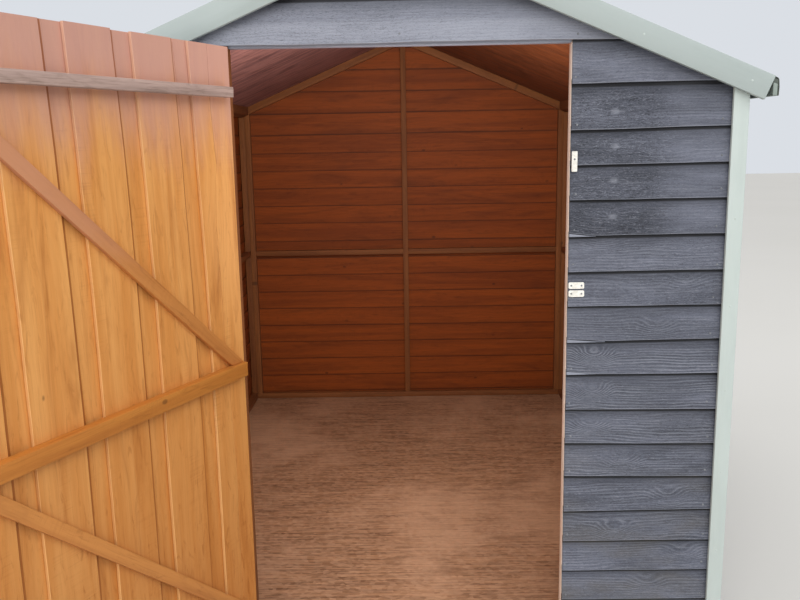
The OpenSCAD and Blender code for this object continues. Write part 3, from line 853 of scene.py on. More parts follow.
@dataclass
class LappedWall:
    """One panel of overlapping boards, each a wedge with a slightly uneven lower edge.

    A ripple of the edge is a share of the waver and how close its bends are. The nails stray by
    nail_shift along and up. The sliver under a split is rooted on the next board's face.
    """

    node: str
    facing: Facing
    lines: Outline
    plane: float
    ends: Pair
    levels: Pair
    studs: tuple[float, ...]
    under_rake: bool = True
    known: tuple[BoardHabit, ...] = ()
    # A tone added to each board that isn't listed; above 1 it paints a paler sheen.
    painted_sheen: float = 0.0
    station: float = 0.03
    least_run: float = 0.02
    least_rise: float = 0.02
    least_share: float = 0.01
    waver: float = 0.0028
    seeds_apart: Pair = (2.1, 5.3)
    ripples: tuple[Pair, ...] = ((0.8, 1.0), (0.35, 4.3))
    cupping: float = 0.0011
    cup_bends: float = 1.7
    cup_bias: float = 0.4
    tilt: float = 0.003
    roughest: float = 0.8
    knot_levels: Pair = (0.02, 0.08)
    ringed: Pair = (0.1, 0.9)
    tones: float = 0.8
    edge_ease: float = 0.0011
    top_t: float = 0.0058
    shy: float = 0.0004
    split_rise: float = 0.009
    sliver_steps: int = 6
    sliver_gap: float = 0.0016
    sliver_least: float = 0.0008
    sliver_foot: float = 0.0005
    sliver_ease: float = 0.0007
    sliver_root: Pair = (0.001, 0.002)
    sliver_t: float = 0.0016
    sliver_drop: float = 0.001
    sliver_curl: float = 0.0012
    nail_z: float = 0.018
    nail_shift: Pair = (0.006, 0.005)
    nail_margin: float = 0.006
    nail_top: float = 0.01
    nail_sunk: float = 0.0006

    def world(self, along: float, out: float, up: float) -> Vector:
        """Turns a place on the panel into a place on the shed."""
        turn = Matrix.Rotation(math.radians(self.facing.value), 3, "Z")
        return turn @ Vector((along, -self.plane - out, up))

    def reach(self, up: float) -> Pair:
        """Gives where the panel starts and ends at a height."""
        low, high = self.ends
        if not self.under_rake:
            return low, high
        rake = max((self.lines.peak_z - up) / self.lines.rise - HAIR, 0.0)
        return max(low, -rake), min(high, rake)

    def habits(self, edges: Sequence[float], rng: random.Random) -> list[BoardHabit]:
        """Gives each board its habit: those seen in the photo, and others like them.

        Args:
            edges: The heights of the boards' lower edges, from the ground up.
            rng: The source of the others.

        Returns:
            The habits, from the ground up. The known ones are listed from the top down.
        """
        found, top = [], self.levels[1] - HAIR
        for number, low in enumerate(edges):
            start, end = self.reach(low)
            above = sum(low < z < top for z in edges)
            if above < len(self.known):
                found.append(self.known[above])
                continue
            tilt = 0.0 if number == 0 or low > top else self.tilt
            roughs = rng.uniform(0.0, self.roughest), rng.uniform(0.0, self.roughest)
            left, right = rng.uniform(-tilt, tilt), rng.uniform(-tilt, tilt)
            knot = rng.uniform(start, end), rng.uniform(*self.knot_levels)
            ringed, tone = rng.uniform(*self.ringed), rng.random() * self.tones + self.painted_sheen
            found.append(BoardHabit(left, right, knot, roughs, 0.0, ringed, tone))
        return found

    def section(self, low: float, high: float) -> list[Triple]:
        """Gives a board's corners: its distance out, its height and how far its edge wavers.

        Args:
            low: The height of its lower edge.
            high: The height of the next board's lower edge.

        Returns:
            The corners, from the front of the lower edge round over the top.
        """
        t, ease = self.lines.board_t, self.edge_ease
        top = min(high + self.lines.lap, self.levels[1] - self.shy)
        outer = 2 * t - t * (top - low) / (high - low)
        return [(2 * t - ease, low, 1.0), (2 * t, low + ease, 1.0), (outer, top, 0.0),
                (outer - self.top_t, top, 0.0), (t + self.shy, low, 1.0)]

    def board(self, maker: MeshMaker, number: int, edges: Sequence[float],
              habits: Sequence[BoardHabit], rng: random.Random) -> None:
        """Adds one board, painted outside and bare inside.

        Args:
            maker: The piece that it goes into.
            number: Its number from the ground.
            edges: The heights of the boards' lower edges.
            habits: The boards' habits.
            rng: The source of its figure.
        """
        first, last = self.reach(edges[number])
        if last - first < self.least_run:
            return
        own, above = habits[number:number + 2]
        steps = max(2, math.ceil((last - first) / self.station))
        origin, rings = from_a_log(rng), []
        for share in (i / steps for i in range(steps + 1)):
            low, high = edges[number] + own.shift(share), edges[number + 1] + above.shift(share)
            ring = []
            for out, up, wavers in self.section(low, high):
                start, end = self.reach(up)
                along = start + (end - start) * share
                seed = Vector((along * self.seeds_apart[0], number * self.seeds_apart[1],
                               self.facing.value))
                lift = wavers * self.waver * sum(far * noise.noise(seed * bends)
                                                 for far, bends in self.ripples)
                if own.split:
                    lift += wavers * self.split_rise * max(0.0, 1 - (along - start) / own.split)
                cup = wavers * self.cupping * (noise.noise(seed * self.cup_bends) - self.cup_bias)
                ring.append(Spot(self.world(along, out + min(cup, 0.0), up + lift),
                                 Vector((along, up - low, out)) + origin,
                                 (own.tone, (up - low) / (high - low), own.roughness(share)),
                                 (along - own.knot[0], up - low - own.knot[1], own.ringed)))
            rings.append(ring)
        maker.loft(rings, (0, 0, 1, 1, 0, 0))
        if own.split:
            self.splinter(maker, edges[number] + own.left, own.split)

    def splinter(self, maker: MeshMaker, low: float, length: float) -> None:
        """Adds the sliver that hangs under a split at a board's left end.

        Args:
            maker: The piece that it goes into.
            low: The height of the board's lower edge.
            length: The length of the split.
        """
        t, rings = self.lines.board_t, []
        for share in (k / self.sliver_steps for k in range(self.sliver_steps + 1)):
            along = self.ends[0] + length * share
            top = low + max(self.split_rise * (1 - share) - self.sliver_gap, self.sliver_least)
            foot = low - self.sliver_foot - self.sliver_drop * (1 - share)
            out = 2 * t + self.sliver_curl * (1 - share)
            rings.append([Spot(self.world(along, depth, up), Vector((along, up, depth)),
                               (1.0, 0.0, 0.0))
                          for depth, up in ((out - self.sliver_t / 2, foot),
                                            (out, foot + self.sliver_ease),
                                            (out - self.sliver_t, top),
                                            (t + self.sliver_root[1], top),
                                            (t + self.sliver_root[0], foot))])
        maker.loft(rings, [0] * 6)

    def nail_row(self, nails: MeshMaker, low: float, high: float, habit: BoardHabit,
                 rng: random.Random) -> None:
        """Adds a nail through a board at each stud.

        Args:
            nails: The piece that the nails go into.
            low: The height of the board's lower edge.
            high: The height of the next board's lower edge.
            habit: The board's habit.
            rng: The source of the nails' small shifts.
        """
        facing = self.world(0, 1, 0) - self.world(0, 0, 0)
        for stud in self.studs:
            along = stud + rng.uniform(-self.nail_shift[0], self.nail_shift[0])
            lift = self.nail_z + rng.uniform(-self.nail_shift[1], self.nail_shift[1])
            start, end = self.reach(low)
            up = low + lift + habit.shift((along - start) / max(end - start, self.least_share))
            start, end = self.reach(up)
            inside = start + self.nail_margin < along < end - self.nail_margin
            if inside and up <= self.levels[1] - self.nail_top:
                out = self.lines.clad_t - self.lines.board_t * lift / (high - low)
                nails.dome(self.world(along, out - self.nail_sunk, up), facing, Head.BOARD_NAIL)

    def build(self) -> None:
        """Builds the boards and their nails."""
        rng, maker, nails = random.Random(self.node), MeshMaker(), MeshMaker()
        edges = [z for z in self.lines.courses() if z > self.levels[0] - HAIR]
        habits = self.habits(edges, rng)
        for number, low in enumerate(edges[:-1]):
            if low > self.levels[1] - self.least_rise:
                break
            self.board(maker, number, edges, habits, rng)
            self.nail_row(nails, low, edges[number + 1], habits[number], rng)
        maker.piece(self.node + "_boards", "shed", (Finish.BOARD_PAINT, Finish.BARE_TIMBER),
                    "painted_boards", (self.node,))
        nails.piece(self.node + "_nails", "shed", (Finish.NAIL,), STEEL)


@dataclass
class SoftenedTimbers:
    """Nodes of the frame with their edges eased, so that they catch the light."""

    nodes: tuple[str, ...]
    finish: Finish
    slot: str
    body: str = "shed"
    ease: float = 0.0014
    merge: float = 1e-5
    flat: float = math.radians(0.6)
    sharp: float = math.radians(25)
    profile: float = 0.6
    heart_off: Pair = (0.3, 0.02)
    rough: float = 0.2
    knotty_share: float = 0.35
    knotty: float = 0.8

    def build(self) -> None:
        """Builds each node."""
        for node in self.nodes:
            self.soften(node)

    def soften(self, node: str) -> None:
        """Copies a node, eases its edges and finds the grain of each of its timbers."""
        work = bmesh.new()
        work.from_mesh(frame["nodes"][node].data)
        bmesh.ops.remove_doubles(work, verts=work.verts, dist=self.merge)
        bmesh.ops.dissolve_limit(work, angle_limit=self.flat, verts=work.verts,
                                 edges=work.edges)
        sharp = [e for e in work.edges
                 if len(e.link_faces) == 2 and e.calc_face_angle() > self.sharp]
        bmesh.ops.bevel(work, geom=sharp, offset=self.ease, segments=2, profile=self.profile,
                        affect="EDGES", clamp_overlap=True)
        bmesh.ops.recalc_face_normals(work, faces=work.faces)
        mesh = bpy.data.meshes.new(node)
        spots = self.figure(work, random.Random(node))
        work.to_mesh(mesh)
        work.free()
        dress(mesh, (self.finish,), spots)
        place_piece(mesh, node + "_eased", self.body, self.slot, (node,))

    def figure(self, work: bmesh.types.BMesh, rng: random.Random) -> list[Spot]:
        """Gives each vertex its place in its own timber, and its timber's tone.

        Args:
            work: The eased solids.
            rng: The source of the timbers' figure and tone.

        Returns:
            What the timber is like at each vertex, in their order.
        """
        work.verts.index_update()
        spots = {}
        for timber in self.timbers(work):
            turn, origin = Matrix(self.axes(timber)), from_a_log(rng)
            middle = turn @ (sum((v.co for v in timber), Vector()) / len(timber))
            heart = middle + Vector([rng.uniform(-far, far) for far in self.heart_off] + [0.0])
            mark = (rng.random(), 0.0, self.rough)
            knotty = self.knotty if rng.random() < self.knotty_share else 0.0
            for vert in timber:
                place = turn @ vert.co
                off = place - heart
                spots[vert.index] = Spot(vert.co.copy(), place + origin, mark,
                                         (off.x, off.y, knotty))
        return [spots[index] for index in range(len(spots))]

    @staticmethod
    def timbers(work: bmesh.types.BMesh) -> Iterator[list[bmesh.types.BMVert]]:
        """Gives the vertices of each timber, found along its edges.

        Args:
            work: The solids, each a timber.

        Returns:
            The timbers, one after another.
        """
        seen: set[int] = set()
        for vert in work.verts:
            if vert.index in seen:
                continue
            timber, queue = [], [vert]
            seen.add(vert.index)
            while queue:
                here = queue.pop()
                timber.append(here)
                for edge in here.link_edges:
                    other = edge.other_vert(here)
                    if other.index not in seen:
                        seen.add(other.index)
                        queue.append(other)
            yield timber

    @staticmethod
    def axes(timber: Sequence[bmesh.types.BMVert]) -> tuple[Vector, Vector, Vector]:
        """Finds a timber's own axes from its longest edges.

        Args:
            timber: The vertices of one timber.

        Returns:
            The directions along, across and through it.
        """
        runs = dict.fromkeys(edge for vert in timber for edge in vert.link_edges)
        spans = sorted((e.verts[1].co - e.verts[0].co for e in runs), key=lambda v: -v.length)
        along = spans[0].normalized()
        across = next((v.normalized() for v in spans if abs(v.normalized().dot(along)) < 0.1),
                      along.orthogonal().normalized())
        return along, across, along.cross(across)


@dataclass
class Walls:
    """The six panels of lapped boards. Half a side is stud_steps from one stud to the next."""

    lines: Outline
    corner_in: float = 0.046
    post_out: float = 0.010
    stud_steps: float = 2.03
    # The gable's extra tone, which paints a paler sheen on its boards.
    gable_painted_sheen: float = 1.4

    def panels(self) -> list[LappedWall]:
        """Lists the panels."""
        lines, front = self.lines, Facing.FRONT
        x, y, inner = lines.frame_x, lines.frame_y, lines.opening_x
        low, head, peak = lines.low_z, lines.head_z, lines.peak_z
        corner, post = x - self.corner_in, inner + self.post_out
        side_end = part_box("right_cladding")[1]
        side, side_levels = (-side_end.y, side_end.y), (low, side_end.z - lines.rise * lines.clad_t)
        rows = tuple(y * k / self.stud_steps for k in (-2, -1, 0, 1, 2))
        return [
            LappedWall("front_cladding_right", front, lines, y, (inner, x), (low, head),
                       (post, corner), known=RIGHT_OF_DOOR),
            LappedWall("front_cladding_left", front, lines, y, (-x, -inner), (low, head),
                       (-post, -corner)),
            LappedWall("front_gable_cladding", front, lines, y, (-x, x), (head, peak),
                       (-post, 0.0, post), painted_sheen=self.gable_painted_sheen),
            LappedWall("back_cladding", Facing.BACK, lines, y, (-x, x), (low, peak),
                       (-corner, 0.0, corner)),
            LappedWall("right_cladding", Facing.RIGHT, lines, x, side, side_levels, rows, False),
            LappedWall("left_cladding", Facing.LEFT, lines, x, side, side_levels, rows, False),
        ]

    def build(self) -> None:
        """Builds every panel."""
        for panel in self.panels():
            panel.build()


@dataclass
class Framing:
    """The timbers that show inside, under and round the shed."""

    framing: tuple[str, ...] = (
        "front_frame_left", "front_gable_frame", "back_frame", "left_frame", "right_frame",
        "roof_frame_left", "roof_frame_right", "floor_bearers")

    def build(self) -> None:
        """Eases each timber and gives it its finish."""
        # The right doorpost takes the paler copy of the frame timber: painted light.
        for nodes, finish, slot in (
                (self.framing, Finish.FRAME_TIMBER, "bare_timber"),
                (("front_frame_right",), Finish.POST_TIMBER, "bare_timber"),
                (("threshold_board",), Finish.BOARD_PAINT, "painted_boards"),
                (("door_header",), Finish.HEADER_PAINT, "painted_trim"),
                (("eaves_fascia_left", "eaves_fascia_right"), Finish.EAVES_PAINT, "painted_trim")):
            SoftenedTimbers(nodes, finish, slot).build()
        # The left slope's deck takes the paler copy of the strand board: painted light.
        for node, finish in (("floor_board", Finish.CHIP_FLOOR),
                             ("roof_deck_left", Finish.PALE_DECK),
                             ("roof_deck_right", Finish.STRAND_DECK)):
            mesh = frame["nodes"][node].data
            mesh.materials.clear()
            mesh.materials.append(finish.stuff())


@dataclass
class Trim:
    """Bargeboards and corner strips, with the nails that hold them."""

    lines: Outline
    barge_ease: float = 0.0018
    strip_ease: float = 0.0016
    nail_step: float = 0.24
    first_nail: float = 0.08
    barge_nails: int = 4
    barge_end: float = 0.06
    barge_drop: float = 0.034
    sunk: float = 0.0004

    def strip_nails(self, node: str) -> list[Pair]:
        """Gives how far across and how high each nail of a corner strip is."""
        low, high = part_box(node)
        count = int((high.z - low.z) / self.nail_step)
        return [((low.x + high.x) / 2, low.z + self.first_nail + k * self.nail_step)
                for k in range(count)]

    def rake_nails(self, node: str, hand: float) -> list[Pair]:
        """Gives how far across and how high each nail of a bargeboard is.

        Args:
            node: The bargeboard's node.
            hand: -1 for the left and 1 for the right.

        Returns:
            The places, from the ridge down.
        """
        low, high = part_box(node)
        run = high.x - low.x - 2 * self.barge_end
        drop = self.barge_drop / math.cos(self.lines.pitch)
        aways = [self.barge_end + k * run / (self.barge_nails - 1) for k in range(self.barge_nails)]
        return [(hand * away, high.z - away * self.lines.rise - drop) for away in aways]

    def build(self) -> None:
        """Builds the trim and its nails."""
        nails = MeshMaker()
        for end, sign in (("front", -1.0), ("back", 1.0)):
            for side, hand in SIDES:
                barge, strip = f"{end}_{side}_bargeboard", f"{end}_{side}_corner_strip"
                # The bargeboards take the darker copy of the trim paint: painted shade.
                SoftenedTimbers((barge,), Finish.BARGE_PAINT, "painted_trim",
                                ease=self.barge_ease).build()
                SoftenedTimbers((strip,), Finish.TRIM_PAINT, "painted_trim",
                                ease=self.strip_ease).build()
                for node, places in ((strip, self.strip_nails(strip)),
                                     (barge, self.rake_nails(barge, hand))):
                    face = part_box(node)[0 if sign < 0 else 1].y
                    for x, z in places:
                        nails.dome(Vector((x, face - sign * self.sunk, z)), Vector((0, sign, 0)),
                                   Head.TRIM_NAIL)
        nails.piece("trim_nails", "shed", (Finish.TRIM_PAINT,), STEEL)


@dataclass
class FeltRoof:
    """Felt laid in two widths up each slope, turned down at the eaves and capped at the ridge.

    Billows are so many to a metre across and along, and the cap's third number is their seed.
    Tacks go beside the ridge and below the lap, each a distance across and a height off the deck.
    """

    lines: Outline
    thickness: float = 0.003
    first_width: float = 0.74
    step: float = 0.07
    steps: int = 16
    billow: float = 0.0016
    billows: Pair = (6.0, 3.1)
    loose_from: float = 0.5
    loose_rise: float = 4.0
    loosest: float = 1.6
    lap_rise: float = 0.7
    under: float = 0.0006
    cap_lift: float = 0.0012
    cap_billow: float = 0.0014
    cap_billows: Triple = (8.0, 4.7, 3.0)
    cap_share: float = 0.8
    split: float = 0.0002
    folds: tuple[Pair, ...] = ((-0.0006, -0.003), (0.0, -0.008))
    fold_in: float = 0.004
    hang_out: float = 0.0012
    tack_step: float = 0.1
    tack_end: float = 0.03
    tack_up: float = 0.016
    tack_out: float = 0.0008
    cap_tacks: Pair = (0.135, 0.0066)
    lap_tacks: Pair = (0.02, 0.0044)

    def __post_init__(self) -> None:
        """Works out the felt's upright thickness, and how far in the first width's edge is."""
        self.thick_v = self.thickness / math.cos(self.lines.pitch)
        self.first_run = self.first_width * math.cos(self.lines.pitch)

    def lay(self, name: str, node: str, ring: Callable[[float, bool], list[Vector]]) -> None:
        """Lays a length of felt from the front to the back.

        Args:
            name: The piece's name.
            node: The node that it replaces.
            ring: Gives the felt's outline at a distance back, and at an end or between them.
        """
        low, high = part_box(node)
        count, maker = max(2, round((high.y - low.y) / self.step)), MeshMaker()
        maker.bar([ring(low.y + (high.y - low.y) * i / count, i in (0, count))
                   for i in range(count + 1)])
        maker.piece(name, "shed", (Finish.FELT,), "mineral_felt", (node,))

    def slope(self, side: str, hand: float) -> None:
        """Lays the felt on one slope, turned down at the eaves.

        Args:
            side: Left or right.
            hand: -1 for the left and 1 for the right.
        """
        node = f"roof_felt_{side}"
        low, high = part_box(node)
        eave = max(abs(low.x), abs(high.x))
        xs = [self.split + (eave - self.fold_in) * k / self.steps for k in range(self.steps + 1)]
        top = [(x, high.z - x * self.lines.rise
                + (self.thick_v * self.lap_rise if x < eave - self.first_run else 0.0)) for x in xs]
        bend = top[-1][1]
        rest = [(eave + x, bend + z) for x, z in self.folds]
        rest += [(eave + self.hang_out, (bend + low.z) / 2), (eave + self.hang_out / 2, low.z),
                 (eave - self.thickness, low.z),
                 (eave - self.thickness, high.z - eave * self.lines.rise - self.under),
                 (self.split, high.z - self.thick_v)]

        def ring(y: float, at_end: bool) -> list[Vector]:
            """Gives the outline, which billows on top, and at the ends near the eaves only."""
            found = []
            for x, z in top:
                seed = Vector((x * self.billows[0], y * self.billows[1], hand))
                swell = noise.noise(seed) * 0.5 + 0.5
                loose = (min(max((x - self.loose_from) * self.loose_rise, 0.0), self.loosest)
                         if at_end else 1.0)
                found.append(Vector((hand * x, y, z + self.billow * swell * loose)))
            return found + [Vector((hand * x, y, z)) for x, z in rest]

        self.lay(f"felt_{side}", node, ring)

    def capping(self) -> None:
        """Lays the strip folded over the ridge."""
        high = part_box("ridge_capping")[1]
        tops = [(x, high.z - abs(x) * self.lines.rise)
                for x in (high.x * k / 4 for k in range(-4, 5))]
        profile = tops + [(x, z - self.thick_v * self.cap_share) for x, z in reversed(tops)]

        def ring(y: float, _at_end: bool) -> list[Vector]:
            """Gives the outline, which billows all along."""
            across, along, seed = self.cap_billows
            swells = [noise.noise(Vector((x * across, y * along, seed))) * 0.5 + 0.5
                      for x, _ in profile]
            return [Vector((x, y, z + self.cap_lift + self.cap_billow * swell))
                    for (x, z), swell in zip(profile, swells)]

        self.lay("felt_ridge", "ridge_capping", ring)

    def tacks(self) -> None:
        """Adds the broad-headed tacks along the eaves and the laps."""
        maker = MeshMaker()
        low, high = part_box("roof_felt_right")
        run = high.y - low.y - 2 * self.tack_end
        count = int(run / self.tack_step)
        for _, hand in SIDES:
            out = Vector((math.sin(self.lines.pitch) * hand, 0.0, math.cos(self.lines.pitch)))
            for k in range(count + 1):
                y = low.y + self.tack_end + run * k / count
                maker.dome(Vector((hand * (high.x + self.tack_out), y, low.z + self.tack_up)),
                           Vector((hand, 0.0, 0.0)), Head.FELT_TACK)
                lap = high.x - self.first_run - self.lap_tacks[0]
                for x, proud in (self.cap_tacks, (lap, self.lap_tacks[1])):
                    z = high.z - x * self.lines.rise + proud
                    maker.dome(Vector((hand * x, y, z)), out, Head.FELT_TACK)
        maker.piece("felt_tacks", "shed", (Finish.ZINC,), STEEL)

    def build(self) -> None:
        """Builds the whole covering."""
        for side, hand in SIDES:
            self.slope(side, hand)
        self.capping()
        self.tacks()


@dataclass(frozen=True)
class DoorBoard:
    """One upright board: its layer, and its two edges from the hinge edge of the door."""

    inner: bool
    near: float
    far: float
    near_crack: bool = False
    far_crack: bool = False
    crease: float | None = None


@dataclass
class Door:
    """The ledged and braced door: boards in two layers, ledges, braces and nails.

    Each bend of the crack and of the boards' lean is a height, and how far across it is there. A
    point of the crease is a distance across and a mark, and a wander of the edges is how far it
    goes, its bends to a metre and its seed.
    """

    lines: Outline
    board_w: float = 0.133
    pitch: float = 0.195
    edge_w: float = 0.020
    proud: float = 0.005
    edge_gap: float = 0.005
    station: float = 0.05
    ease: float = 0.0009
    shy: float = 0.0001
    first_w: float = 0.08
    crack: tuple[Pair, ...] = (
        (0.0, 0.064), (0.50, 0.062), (0.59, 0.058), (0.70, 0.063), (1.0, 0.080), (1.32, 0.088),
        (1.41, 0.083), (1.45, 0.074), (1.52, 0.080), (1.62, 0.087), (1.80, 0.088))
    crack_w: float = 0.0011
    lean: tuple[Pair, ...] = (
        (0.0, -0.018), (0.9, -0.017), (1.2, -0.013), (1.5, -0.004), (1.8, 0.011))
    crease: tuple[Pair, ...] = ((0.004, 2.5), (-0.0105, 2.5), (-0.015, 0.0))
    wanders: tuple[Triple, ...] = ((0.0022, 1.9, 8.0), (0.0009, 9.0, 3.0))
    edges_apart: float = 37.0
    uneven: float = 0.002
    rough: float = 0.3
    knot_levels: Pair = (0.2, 1.6)
    knots_across: Pair = (0.2, 0.8)
    knotty: float = 0.5
    splinter_x: float = 0.209
    splinter_run: float = 0.024
    splinter_l: float = 0.235
    splinter_half: float = 0.0018
    splinter_rise: float = 0.0012
    splinter_steps: int = 8
    splinter_top: float = 0.004
    splinter_bend: float = 1.2
    splinter_thins: Pair = (0.75, 0.6)
    splinter_flat: float = 0.4
    splinter_foot: float = 0.0004
    nail_sunk: float = 0.0006
    nail_shift: float = 0.01
    nail_levels: Pair = (0.35, 0.65)

    def __post_init__(self) -> None:
        """Reads the hinge from the frame."""
        joint = frame["joints"][0]
        pin = Vector(joint["pos_m"])
        turn = math.radians(joint["range_deg"][0])
        self.swing = (Matrix.Translation(pin) @ Matrix.Rotation(turn, 4, "Z")
                      @ Matrix.Translation(-pin))
        self.half = self.lines.opening_x - self.edge_gap
        self.face_y = -self.lines.frame_y - self.lines.clad_t - self.proud
        self.levels = tuple(corner.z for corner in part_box("door_boards"))

    def world(self, across: float, out: float, up: float) -> Vector:
        """Turns a place on the closed door into its place at rest.

        Args:
            across: The distance from the door's hinge edge.
            out: The distance out from the back of the boards.
            up: The height.

        Returns:
            The place.
        """
        return self.swing @ Vector((across - self.half, self.face_y + self.lines.clad_t - out, up))

    def along(self, bends: tuple[Pair, ...], up: float) -> float:
        """Gives how far across a bent upright line is at a height.

        Args:
            bends: The line's bends.
            up: The height.

        Returns:
            The distance.
        """
        for (z0, x0), (z1, x1) in zip(bends, bends[1:]):
            if up <= z1:
                return x0 + (x1 - x0) * (up - z0) / (z1 - z0)
        return bends[-1][1]

    def layout(self) -> list[DoorBoard]:
        """Lists the boards. The outer ones cover the gaps between the inner ones."""
        width, gap = 2 * self.half, self.pitch - self.board_w
        starts, found = [self.edge_w], []
        while starts[-1] + self.pitch < width - self.board_w / 3:
            starts.append(starts[-1] + self.pitch)
        for number, start in enumerate(starts):
            end = width if number == len(starts) - 1 else start + self.board_w
            if number == 0:
                found.append(DoorBoard(True, 0.0, self.first_w, far_crack=True))
                found.append(DoorBoard(True, self.first_w, end, near_crack=True))
            else:
                found.append(DoorBoard(True, start, end))
            outer = start - (self.board_w + gap) / 2
            found.append(DoorBoard(False, max(outer, 0.0), min(outer + self.board_w, width),
                                   crease=start if number else None))
        strip = (self.board_w - gap) / 2 + self.edge_w
        return found + [DoorBoard(False, width - strip, width)]

    def edge(self, place: float, up: float, cracked: bool, side: float) -> float:
        """Gives how far across a board's uneven edge is at a height.

        Args:
            place: Where a straight edge would be.
            up: The height.
            cracked: Whether it is a side of the crack.
            side: -1 for the board's near edge and 1 for its far one.

        Returns:
            The distance from the hinge edge.
        """
        if cracked:
            return self.along(self.crack, up) - side * self.crack_w / 2
        if place < HAIR or place > 2 * self.half - HAIR:
            return place
        along = place * self.edges_apart
        return place + sum((far * noise.noise(Vector((along, up * bends, seed)))
                            for far, bends, seed in self.wanders), self.along(self.lean, up))

    def section(self, row: DoorBoard, near: float, far: float, up: float) -> list[Triple]:
        """Gives a board's corners at a height: how far out, how far across and how dark.

        Args:
            row: The board.
            near: Where its near edge is.
            far: Where its far edge is.
            up: The height.

        Returns:
            The corners, from the front round the far edge. A mark above 1 is the shaded crease
            where an outer board's back meets the inner board's edge.
        """
        base, ease = 0.0 if row.inner else self.lines.board_t, self.ease
        back, front = base + self.shy, base + self.lines.board_t - self.shy
        corners = [(front, near + ease, 0.0), (front, far - ease, 0.0), (front - ease, far, 0.0),
                   (back + ease, far, 0.0), (back, far - ease, 0.0)]
        if row.crease is not None:
            line = self.edge(row.crease, up, False, -1.0)
            corners += [(back, line + across, dark) for across, dark in self.crease]
        return corners + [(back, near + ease, 0.0), (back + ease, near, 0.0),
                          (front - ease, near, 0.0)]

    def board(self, maker: MeshMaker, row: DoorBoard, rng: random.Random) -> None:
        """Adds one upright board, stained on the inside and painted on the outside.

        Args:
            maker: The piece that it goes into.
            row: The board.
            rng: The source of its tone, figure and small shifts.
        """
        # The far edges of inner boards, but not at the crack, take the paler stain: painted
        # highlight.
        side = 1 if row.far_crack else 2
        slots = (0, side, side, side, 1, 1, 1, 0, 1) if row.inner else (0, 0, 0, 1, 1, 1, 0, 0, 0)
        if row.crease is not None:
            slots = slots[:4] + (1, 1, 1) + slots[4:]
        origin = from_a_log(rng)
        knot_up, knot_across = rng.uniform(*self.knot_levels), rng.uniform(*self.knots_across)
        tone = rng.random() * 0.5 + (0.0 if row.inner else 0.5)
        knotty = self.knotty if row.inner and rng.random() < 0.5 else 0.0
        low = self.levels[0] + rng.uniform(0.0, self.uneven)
        high = self.levels[1] - rng.uniform(0.0, self.uneven)
        steps, rings = math.ceil((high - low) / self.station), []
        for up in (low + (high - low) * i / steps for i in range(steps + 1)):
            near = self.edge(row.near, up, row.near_crack, -1.0)
            far = self.edge(row.far, up, row.far_crack, 1.0)
            heart = near + (far - near) * knot_across
            rings.append([Spot(self.world(across, out, up),
                               Vector((up, across - near, out)) + origin, (tone, dark, self.rough),
                               (up - knot_up, across - heart, knotty))
                          for out, across, dark in self.section(row, near, far, up)])
        maker.loft(rings, slots)

    def splinter(self, maker: MeshMaker) -> None:
        """Adds the pale splinter that stands off the second board at its top."""
        rings = []
        for share in (k / self.splinter_steps for k in range(self.splinter_steps + 1)):
            up = self.levels[1] - self.splinter_top - self.splinter_l * share
            across = self.splinter_x - self.splinter_run * share ** self.splinter_bend
            half = self.splinter_half * (1 - share * self.splinter_thins[0])
            rise = self.splinter_rise * (1 - share * self.splinter_thins[1])
            flat, foot = half * self.splinter_flat, -self.splinter_foot
            rings.append([Spot(self.world(across + x, self.lines.board_t - lift, up),
                               Vector((up, x, 0.0)), (0.0, 0.0, self.rough))
                          for x, lift in ((-half, foot), (-flat, rise), (flat, rise),
                                          (half, foot))])
        maker.loft(rings, [1] * 5)

    def boards(self) -> None:
        """Builds the upright boards."""
        rng, maker = random.Random("door boards"), MeshMaker()
        for row in self.layout():
            self.board(maker, row, rng)
        self.splinter(maker)
        maker.piece("door_upright_boards", "door",
                    (Finish.BOARD_PAINT, Finish.DOOR_STAIN, Finish.EDGE_STAIN), "stained_door",
                    ("door_boards",))

    def nails(self) -> None:
        """Adds the nails through each outer board into the ledges."""
        maker, rng = MeshMaker(), random.Random("door nails")
        outward = self.swing.to_3x3() @ Vector((0, -1, 0))
        for node in LEDGES:
            low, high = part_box(node)
            for row in self.layout():
                if not row.inner:
                    across = (row.near + row.far) / 2 + rng.uniform(-self.nail_shift, self.nail_shift)
                    up = low.z + (high.z - low.z) * rng.uniform(*self.nail_levels)
                    maker.dome(self.world(across, self.lines.clad_t - self.nail_sunk, up),
                               outward, Head.BOARD_NAIL)
        maker.piece("door_nails", "door", (Finish.NAIL,), STEEL)

    def build(self) -> None:
        """Builds the door's timbers and nails."""
        self.boards()
        for nodes, finish, slot in (
                (("door_top_ledge",), Finish.WEATHERED, "weathered_ledge"),
                (("door_middle_ledge", "door_bottom_ledge"), Finish.LEDGE_STAIN, "stained_door"),
                (("door_upper_brace", "door_lower_brace"), Finish.BRACE_STAIN, "stained_door")):
            SoftenedTimbers(nodes, finish, slot, "door").build()
        self.nails()


